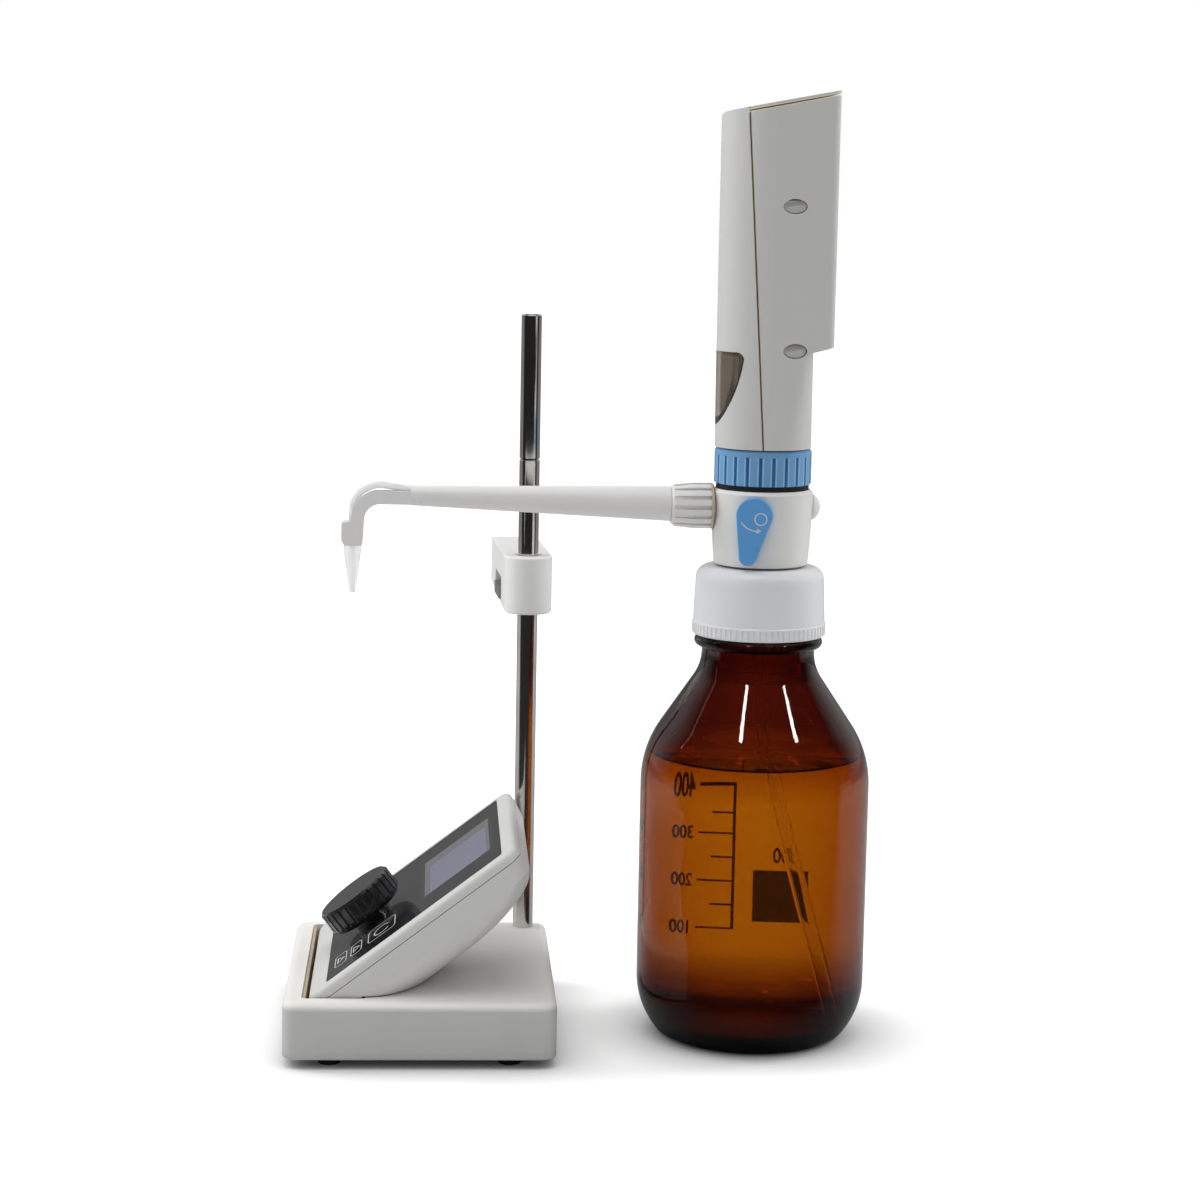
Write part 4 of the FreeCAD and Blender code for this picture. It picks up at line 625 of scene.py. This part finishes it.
scale_u = -1.2
scale_marks = {"400": 88.4, "300": 72.0, "200": 53.2, "100": 34.4}
spine_width = 0.6
tick_width = 0.75
tick_length = 7.2
half_tick_length = 4.5
number_size = 7.2
number_width = 0.35
number_gap = 0.9
number_drop = 2.5
full_place = (-14.4, 61.0)
full_size = 1.15
full_width = 1.2
field_u = (-16.4, -5.2)
field_z = (37.4, 57.8)
mark_z = list(scale_marks.values())
spine = [(scale_u, mark_z[-1] - spine_width / 2), (scale_u, mark_z[0] + spine_width / 2)]
marks = [ink_line("spine", spine, spine_width, on_bottle)]
for digits, z in scale_marks.items():
    run = np.linspace(scale_u, scale_u + tick_length, 5)
    marks.append(ink_line("tick", [(u, z) for u in run], tick_width, on_bottle))
    marks.append(printed_number("number_" + digits, digits, number_size,
                                scale_u + tick_length + number_gap, z - number_drop, number_width))
for high, below in zip(mark_z[:-1], mark_z[1:]):
    run = np.linspace(scale_u, scale_u + half_tick_length, 4)
    marks.append(ink_line("half", [(u, (high + below) / 2) for u in run], tick_width, on_bottle))
marks.append(printed_number("number_full", "500", number_size * full_size, *full_place,
                            number_width * full_width))
marks.append(ink_patch("field", box_path(*field_u, *field_z, split=6), on_bottle, rings=3))
scale_print = joined("bottle_scale", marks)
scale_print.data.materials.append(enamel_finish())
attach(scale_print, "bench_set")


# Collar and small white mouldings: glossy polypropylene, a touch translucent, with the
# faint flow marks and the fine ribs of its rim straight from the mould.
def moulded(name, colour, gloss, grain=0.35, depth=0.006, dust_and_shade=(0.55, 0.5, 0.42, 1.0), dust_and_shade_share=0.35,
            soft=0.0, coat=0.0, reach=1.2, extra=None):
    """Moulded plastic: fine grain, slow flow marks, and dust with painted shade in its corners.

    colour is the plastic's, gloss its roughness, grain and depth its skin in mm; corners
    narrower than reach take a share of dust and painted shade; soft lets light in and coat is a
    clear skin."""
    finish = Finish(name)
    fine = finish.noise(grain, 2.0)
    flow = finish.noise(22.0, 3.0, 0.6, (1.0, 1.0, 0.35))
    cloudy = finish.noise(6.0, 3.0)
    base = finish.mix(flow.between(0.3, 0.7) * 0.5, colour,
                      tuple(c * 0.955 for c in colour[:3]) + (1.0,))
    # Corners narrower than reach turn towards the crease colour: partly dust, partly painted shade.
    base = finish.mix((finish.crease(reach) * dust_and_shade_share).clamp(), base, dust_and_shade)
    if extra:
        base = extra(finish, base)
    gloss_map = gloss + (cloudy - 0.5) * 0.10 + (fine - 0.5) * 0.06
    normal = finish.bump(flow, 0.05, finish.bump(fine, depth))
    return finish.surface(Base_Color=base, Roughness=gloss_map.clamp(), Normal=normal, IOR=1.49,
                          Subsurface_Weight=soft, Subsurface_Radius=(0.004, 0.003, 0.002),
                          Subsurface_Scale=0.5, Coat_Weight=coat, Coat_Roughness=0.08)


def dress(material, *names):
    """Give a material to nodes of the frame."""
    for name in names:
        mesh = nodes[name].data
        mesh.materials.clear()
        mesh.materials.append(material)


collar_white = moulded("collar_white", (0.86, 0.87, 0.89, 1.0), 0.30, 0.5, 0.004, soft=0.05)
dress(collar_white, "bottle_collar")
rubber = moulded("black_rubber", (0.018, 0.018, 0.018, 1.0), 0.62, 0.25, 0.02,
                 dust_and_shade=(0.05, 0.048, 0.045, 1.0))
dress(rubber, "bottle_seal", "coupling_seal", "cylinder_seal", "piston_seal", "base_feet",
      "unit_pads")


# Valve block and the fittings on it: warm white filled plastic with a closing plug on the
# right. The fittings inside it and the sealing ring in the union nut are beige.
block_white = moulded("block_white", (0.85, 0.846, 0.832, 1.0), 0.34, 0.4, 0.006, soft=0.04)
dress(block_white, "valve_block", "side_plug")
beige = moulded("beige_insert", (0.68, 0.59, 0.43, 1.0), 0.42, 0.3, 0.008)
dress(beige, "swivel_bush", "outlet_fitting", "arm_ferrule", "retaining_clip", "valve_plug",
      "inlet_seat")
insert_x = -19.6


def nut_insert(finish, base):
    """The nut ends in a beige sealing ring next to the block."""
    x, _, _ = finish.place()
    return finish.mix(x > insert_x, base, (0.60, 0.51, 0.37, 1.0))


nut_white = moulded("nut_white", (0.88, 0.87, 0.85, 1.0), 0.38, 0.4, 0.006, extra=nut_insert)
dress(nut_white, "arm_nut", "discharge_arm")


# Valve lever: a drop-shaped blue moulding on the front of the block. A white ring and a hook
# with a tip are printed on its face for its two positions.
lever_turn = math.radians(13.0)
lever_face = 22.2
# Its corners darken towards deep blue as painted shade.
lever_blue = moulded("lever_blue", (0.120, 0.385, 0.790, 1.0), 0.30, 0.4, 0.005,
                     dust_and_shade=(0.02, 0.07, 0.2, 1.0))
dress(lever_blue, "valve_lever")


def on_lever(u, v, height):
    """Lay u (to the right) and v (up) on the lever's flat face, height out of it, in mm."""
    out = lever_face + height
    return mm * np.stack([u * math.cos(lever_turn) - out * math.sin(lever_turn),
                          -u * math.sin(lever_turn) - out * math.cos(lever_turn),
                          v + 0 * out], -1)


def printed_white():
    """Thin matt white ink with pores."""
    finish = Finish("printed_white")
    pores = finish.noise(0.3, 2.0)
    return finish.surface(Base_Color=finish.mix(pores, (0.62, 0.63, 0.64, 1.0),
                                                (0.74, 0.75, 0.76, 1.0)),
                          Roughness=0.45, Normal=finish.bump(pores, 0.004))


white_ink = printed_white()
thin_ink = 0.03
lever_line = 0.42
ring_u, ring_v = 2.3, 199.4
ring_mark_r = 2.2
ring_path = [(ring_u + ring_mark_r * math.cos(a), ring_v + ring_mark_r * math.sin(a))
             for a in np.linspace(0.0, 2 * math.pi, 33)[:-1]]
hook_path = arc_between((-4.9, 198.1), (-2.3, 195.8), (1.2, 195.0), 14)
hook_tip = [(0.8, 194.1), (2.6, 195.1), (1.0, 196.0)]
lever_print = joined("lever_print", [
    ink_line("ring_mark", ring_path, lever_line, on_lever, closed=True, height=thin_ink),
    ink_line("hook_mark", hook_path, lever_line, on_lever, height=thin_ink),
    ink_patch("hook_tip", hook_tip, on_lever, height=thin_ink)])
lever_print.data.materials.append(white_ink)
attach(lever_print, "lever")


# Coupling ring: blue moulding with upright grooves that joins the drive to the block. Its grooves
# are painted a deeper blue as shade, and paler lines along their edges are painted highlights.
groove_count = 23
groove_start = math.radians(-83.5)
groove_low_z = 210.8
groove_high_z = 221.4


def groove_shade(finish, base):
    """Deeper blue painted shade in each groove, and a paler painted highlight along both its edges.
    """
    x, y, z = finish.place()
    turn = (y.math("ARCTAN2", x) - groove_start) * (groove_count / (2 * math.pi))
    # 0 in the middle of a groove, -0.5 and 0.5 in the middle of the ribs beside it.
    across = (turn + 0.5).math("FRACT") - 0.5
    tall = (z > groove_low_z) * (z < groove_high_z)
    # Painted highlight: a paler blue line beside each edge of a groove.
    painted_edge_highlight = 1.0 - abs(abs(across) - 0.19).between(0.03, 0.09)
    base = finish.mix(painted_edge_highlight * tall * 0.8, base, (0.33, 0.58, 0.84, 1.0))
    # Painted shade: a deeper blue in the middle of each groove.
    groove = 1.0 - abs(across).between(0.10, 0.14)
    return finish.mix(groove * tall * 0.9, base, (0.030, 0.165, 0.42, 1.0))


# Its corners darken towards deep blue as painted shade.
ring_blue = moulded("ring_blue", (0.165, 0.395, 0.690, 1.0), 0.36, 0.4, 0.006,
                    dust_and_shade=(0.030, 0.13, 0.36, 1.0), dust_and_shade_share=0.3, reach=1.6, extra=groove_shade)
dress(ring_blue, "coupling_ring")


# Discharge tube, nozzle and dip tubes: drawn and moulded fluoroplastic, milky in the air and
# clear where the liquid wets it. The tubes are pressed onto their spigots.
def milky_finish():
    """Milky plastic through which some light passes."""
    finish = Finish("milky_tube")
    drawn = finish.noise(1.2, 2.0)
    return finish.surface(Base_Color=(0.97, 0.975, 0.985, 1.0), Roughness=0.30 + drawn * 0.12,
                          IOR=1.22, Transmission_Weight=0.58, Normal=finish.bump(drawn, 0.02))


def soaked_finish():
    """Clear tube that stands in the liquid, so that it bends light only a little."""
    finish = Finish("soaked_tube")
    drawn = finish.noise(1.5, 2.0)
    return finish.surface(Base_Color=(0.97, 0.97, 0.95, 1.0), Roughness=0.05 + drawn * 0.10,
                          IOR=1.14, Transmission_Weight=1.0, Normal=finish.bump(drawn, 0.03))


dress(milky_finish(), "discharge_tube", "nozzle_tip")
dress(soaked_finish(), "dip_tubes")


# Drive housing: two warm white shells that meet along a slanting seam, with a thin lid line
# at the top; dust has turned the edges of the seam brown.
seam_low_x = 2.3
seam_high_x = 10.6
housing_foot_z = 224.3
housing_top_z = 355.1
lid_x = 23.6
lid_slope = math.tan(math.radians(11.1))
lid_thickness = 1.2
seam_reach = 0.42
lid_reach = 0.75


def seam_dust(finish, base):
    """Brown along the seam between the shells and along the line under the lid."""
    x, _, z = finish.place()
    lean = (seam_high_x - seam_low_x) / (housing_top_z - housing_foot_z)
    # Both lines are straight in x and z, so each is a distance from its plane.
    seam = abs(x + seam_low_x + (z - housing_foot_z) * lean - 0.2)
    lid = abs(z - housing_top_z + lid_thickness + 0.2 - (x - lid_x) * lid_slope)
    near = (seam < seam_reach) * (z < housing_top_z - 6.0)
    under_lid = (lid < lid_reach) * (x > -seam_high_x)
    base = finish.mix(near * 0.8, base, (0.40, 0.33, 0.23, 1.0))
    return finish.mix(under_lid * 0.9, base, (0.84, 0.74, 0.56, 1.0))


shell_white = moulded("shell_white", (0.680, 0.677, 0.666, 1.0), 0.44, 0.45, 0.012, dust_and_shade_share=0.3,
                      extra=seam_dust)
dress(shell_white, "front_shell", "rear_shell")
sleeve_grey = moulded("sleeve_grey", (0.60, 0.59, 0.57, 1.0), 0.45)
dress(sleeve_grey, "cylinder_sleeve", "motor_bracket")


# Sight window: smoked acrylic that shows the cylinder as a paler stripe. It is moulded to
# the round of the front shell and snaps into it from inside.
def smoked_finish():
    """Brown see-through acrylic with a slow haze of finger marks."""
    finish = Finish("smoked_acrylic")
    haze = finish.noise(5.0, 3.0)
    return finish.surface(Base_Color=(0.33, 0.29, 0.25, 1.0), Roughness=0.06 + haze * 0.05,
                          IOR=1.49, Transmission_Weight=0.92)


dress(smoked_finish(), "sight_window")


# Inside of the drive: clear glass cylinder, white piston, bright turned screw and rods on a
# bracket, motor, circuit board and cell. The same finishes serve inside the stand and unit.
def clear_finish():
    """Clear glass, wiped clean."""
    finish = Finish("clear_cylinder")
    haze = finish.noise(8.0, 2.0)
    return finish.surface(Base_Color=(0.95, 0.97, 0.97, 1.0), Roughness=haze * 0.05, IOR=1.47,
                          Transmission_Weight=1.0)


def metal(name, colour, rough, lines=0.3, along=(1.0, 1.0, 0.04), depth=0.003, stain=None):
    """Bright metal with fine drawn lines and a slow cloud of finger marks."""
    finish = Finish(name)
    drawn = finish.noise(lines, 2.0, 0.6, along)
    cloud = finish.noise(14.0, 3.0)
    dull = tuple(c * 0.82 for c in colour[:3]) + (1.0,)
    tone = finish.mix(cloud.between(0.4, 0.75) * 0.6, colour, stain or dull)
    polish = (rough + (drawn - 0.5) * 0.08 + cloud * 0.04).clamp()
    return finish.surface(Base_Color=tone, Metallic=1.0, Roughness=polish,
                          Normal=finish.bump(drawn, depth))


dress(clear_finish(), "glass_cylinder")
dress(moulded("piston_white", (0.78, 0.78, 0.77, 1.0), 0.35), "piston", "travel_nut",
      "clamp_liner")
dress(metal("bright_screw", (0.60, 0.59, 0.57, 1.0), 0.25), "lead_screw", "screw_bearing",
      "guide_rods", "valve_balls", "base_screws", "unit_screws", "rod_bolt", "clamp_lever_pin",
      "charging_socket", "knob_shaft")
dress(metal("motor_case", (0.33, 0.33, 0.34, 1.0), 0.38), "drive_motor", "base_plate",
      "base_weight")


def board_finish():
    """Green lacquer over copper lanes, with bare islands."""
    finish = Finish("circuit_board")
    _, y, _ = finish.place()
    lane = abs((y * 0.8).math("FRACT") - 0.5) < 0.12
    island = finish.noise(2.2, 1.0) > 0.56
    copper = lane * (1.0 - island)
    base = finish.mix(copper, (0.010, 0.085, 0.035, 1.0), (0.030, 0.17, 0.07, 1.0))
    return finish.surface(Base_Color=base, Roughness=0.35 + island * 0.1,
                          Normal=finish.bump(copper, 0.03))


dress(board_finish(), "drive_board", "unit_board")
dress(moulded("cell_wrap", (0.045, 0.12, 0.30, 1.0), 0.3, dust_and_shade=(0.02, 0.03, 0.06, 1.0)),
      "drive_battery", "unit_battery")


# Stand: a white moulded cover over a cast weight and a steel plate, on four black rubber feet.
# Its dock's corners take tan dust and painted shade; its top is painted light, its skirt shade.
painted_lit_top = (21.6, 23.4)
painted_shaded_foot = (3.4, 6.5)


def base_painted_light(finish, base):
    """Painted light: the cover's top is painted lighter, and its skirt near the bench greyer as
    shade.
    """
    _, _, z = finish.place()
    # Painted light: the top of the cover is painted lighter, as if lit from above.
    base = finish.mix(z.between(*painted_lit_top), base, (0.93, 0.915, 0.885, 1.0))
    # Painted shade: the skirt near the bench is painted greyer.
    painted_foot_shade = 1.0 - z.between(*painted_shaded_foot)
    return finish.mix(painted_foot_shade * 0.25, base, (0.42, 0.40, 0.37, 1.0))


base_white = moulded("base_white", (0.635, 0.635, 0.630, 1.0), 0.46, 0.5, 0.014,
                     dust_and_shade=(0.62, 0.53, 0.40, 1.0), dust_and_shade_share=1.0, reach=3.5, extra=base_painted_light)
dress(base_white, "base_cover")


# Lining of the dock: a strip of tan felt glued to its left wall, which steadies the unit. Its
# long edges are rounded and its top swells a little where the glue holds it less.
lining_x = (-168.62, -167.35)
lining_y = (-43.6, 61.0)
lining_z = (13.0, 23.9)
lining_round = 0.35
lining_swell = 0.06
swell_low_z = 20.0
outline = np.array(box_path(*lining_x, *lining_z, lining_round, split=2))
along_y = np.linspace(*lining_y, 40)[:, None]
swell = lining_swell * np.sin(along_y * 0.9) * np.sin(along_y * 0.37)
strip = np.stack([outline[:, 0] + 0 * along_y, along_y + 0 * outline[:, 0],
                  outline[:, 1] + swell * (outline[:, 1] > swell_low_z)], -1)
caps = strip.mean(1, keepdims=True)
strip = np.concatenate([np.repeat(caps[:1], len(outline), 1), strip,
                        np.repeat(caps[-1:], len(outline), 1)])
lining = grid_piece("dock_lining", strip * mm)


def felt_finish():
    """Short fibres and slow clouds of two tans."""
    finish = Finish("tan_felt")
    fibre = finish.noise(0.25, 4.0, 0.7)
    cloud = finish.noise(5.0, 3.0)
    return finish.surface(Base_Color=finish.mix(fibre * 0.5 + cloud * 0.5, (0.50, 0.40, 0.28, 1.0),
                                                (0.70, 0.60, 0.46, 1.0)),
                          Roughness=0.95 - cloud * 0.1, Normal=finish.bump(fibre, 0.08))


lining.data.materials.append(felt_finish())
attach(lining, "bench_set")


# Rod: bright ground steel in two lengths that screw together, bolted through the base. Drawn
# lines run along it.
rod_steel = metal("rod_steel", (0.70, 0.685, 0.66, 1.0), 0.13, 0.22, (1.0, 1.0, 0.03), 0.002,
                  (0.52, 0.485, 0.44, 1.0))
dress(rod_steel, "lower_rod", "upper_rod")


# Holder on the rod: a white moulding with a dark slot through its side, and a grey release
# lever that turns on a pin in the slot.
# Its corners and slot darken towards grey: painted shade with a little dust.
holder_white = moulded("holder_white", (0.91, 0.905, 0.895, 1.0), 0.36, 0.4, 0.006,
                       dust_and_shade=(0.30, 0.29, 0.27, 1.0), dust_and_shade_share=0.5, reach=3.0)
dress(holder_white, "rod_clamp")
dress(moulded("lever_grey", (0.16, 0.16, 0.165, 1.0), 0.42), "clamp_lever")


# Control unit: two white shells screwed together, a glossy black film glued over the display
# and the keys, white key marks printed on it, and a black fluted knob pressed on its shaft.
panel_tilt = math.radians(37.3)
panel_x = -159.85
panel_y = 8.7
panel_z = 29.0


def on_panel(u, v, height):
    """Carry u up the slope, v across and height out of the panel to the room, in mm."""
    return mm * np.stack([
        panel_x + u * math.cos(panel_tilt) - height * math.sin(panel_tilt),
        panel_y + v + 0 * u,
        panel_z + u * math.sin(panel_tilt) + height * math.cos(panel_tilt)], -1)


unit_white = moulded("unit_white", (0.74, 0.738, 0.722, 1.0), 0.40, 0.45, 0.010,
                     dust_and_shade=(0.44, 0.38, 0.30, 1.0), dust_and_shade_share=0.5)
dress(unit_white, "unit_bezel", "unit_back_shell")
screen_low_u = 44.7
screen_high_u = 75.0
screen_half = 26.3
screen_rim = 1.6
screen_margin_low = 2.6
screen_margin_side = 11.0
screen_margin_high = 1.6


def film_finish():
    """Glossy black film, clear over the display, which shows its pale grey-violet glass."""
    finish = Finish("panel_film")
    x, y, z = finish.place()
    u = (x - panel_x) * math.cos(panel_tilt) + (z - panel_z) * math.sin(panel_tilt)
    v = y - panel_y
    past_end = abs(u - (screen_low_u + screen_high_u) / 2) - (screen_high_u - screen_low_u) / 2
    edge = past_end.most(abs(v) - screen_half)
    screen = edge < 0.0
    rim = (edge < screen_rim) * (1.0 - screen)
    haze = finish.noise(9.0, 3.0)
    base = finish.mix(rim, (0.016, 0.016, 0.018, 1.0), (0.030, 0.030, 0.034, 1.0))
    cells = abs((u * 5.0).math("FRACT") - 0.5) < 0.42
    glow = finish.mix(cells * 0.3, (0.27, 0.27, 0.37, 1.0), (0.31, 0.31, 0.41, 1.0))
    margin = (u < screen_low_u + screen_margin_low).most(v > screen_half - screen_margin_side)
    margin = margin.most(u > screen_high_u - screen_margin_high)
    glow = finish.mix(margin, glow, (0.215, 0.210, 0.225, 1.0))
    base = finish.mix(screen, base, glow)
    smear = finish.noise(3.0, 4.0).between(0.45, 0.8)
    return finish.surface(Base_Color=base, Roughness=0.10 + haze * 0.06 + smear * 0.06, IOR=1.52,
                          Coat_Weight=0.5, Coat_Roughness=0.05)


dress(film_finish(), "panel_overlay")
dress(moulded("display_glass", (0.20, 0.20, 0.28, 1.0), 0.15), "display_module")
small_keys = (("key_low", 3.4, 8.5), ("key_middle", 10.7, 15.5))
wide_key = (18.7, 31.0)
key_v0 = -35.5
key_v1 = -21.0
key_line = 0.35
mark_line = 0.5
turn_u, turn_v = 24.8, -27.5
turn_reach = (3.4, 4.6)
strokes = []
for name, u0, u1 in small_keys:
    strokes.append(ink_line(name, box_path(u0, u1, key_v0, key_v1, 1.6), key_line, on_panel,
                            closed=True, height=thin_ink))
    key_middle = (key_v0 + key_v1) / 2
    arrow = [(u0 + 1.2, key_middle - 3.0), (u1 - 1.0, key_middle), (u0 + 1.2, key_middle + 3.0)]
    strokes.append(ink_line("mark", arrow, mark_line, on_panel, closed=True, height=thin_ink))
strokes.append(ink_line("key_wide", box_path(*wide_key, key_v0, key_v1 + 2.0, 2.2), key_line,
                        on_panel, closed=True, height=thin_ink))
turn_path = [(turn_u + turn_reach[0] * math.cos(a), turn_v + turn_reach[1] * math.sin(a))
             for a in np.radians(np.linspace(30, 330, 25))]
strokes.append(ink_line("turn_mark", turn_path, mark_line, on_panel, height=thin_ink))
key_print = joined("key_print", strokes)
key_print.data.materials.append(white_ink)
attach(key_print, "unit")

knob_black = moulded("knob_black", (0.018, 0.018, 0.020, 1.0), 0.22, 0.5, 0.002,
                     dust_and_shade=(0.008, 0.008, 0.008, 1.0), coat=0.5)
dress(knob_black, "control_knob", "knob_encoder")
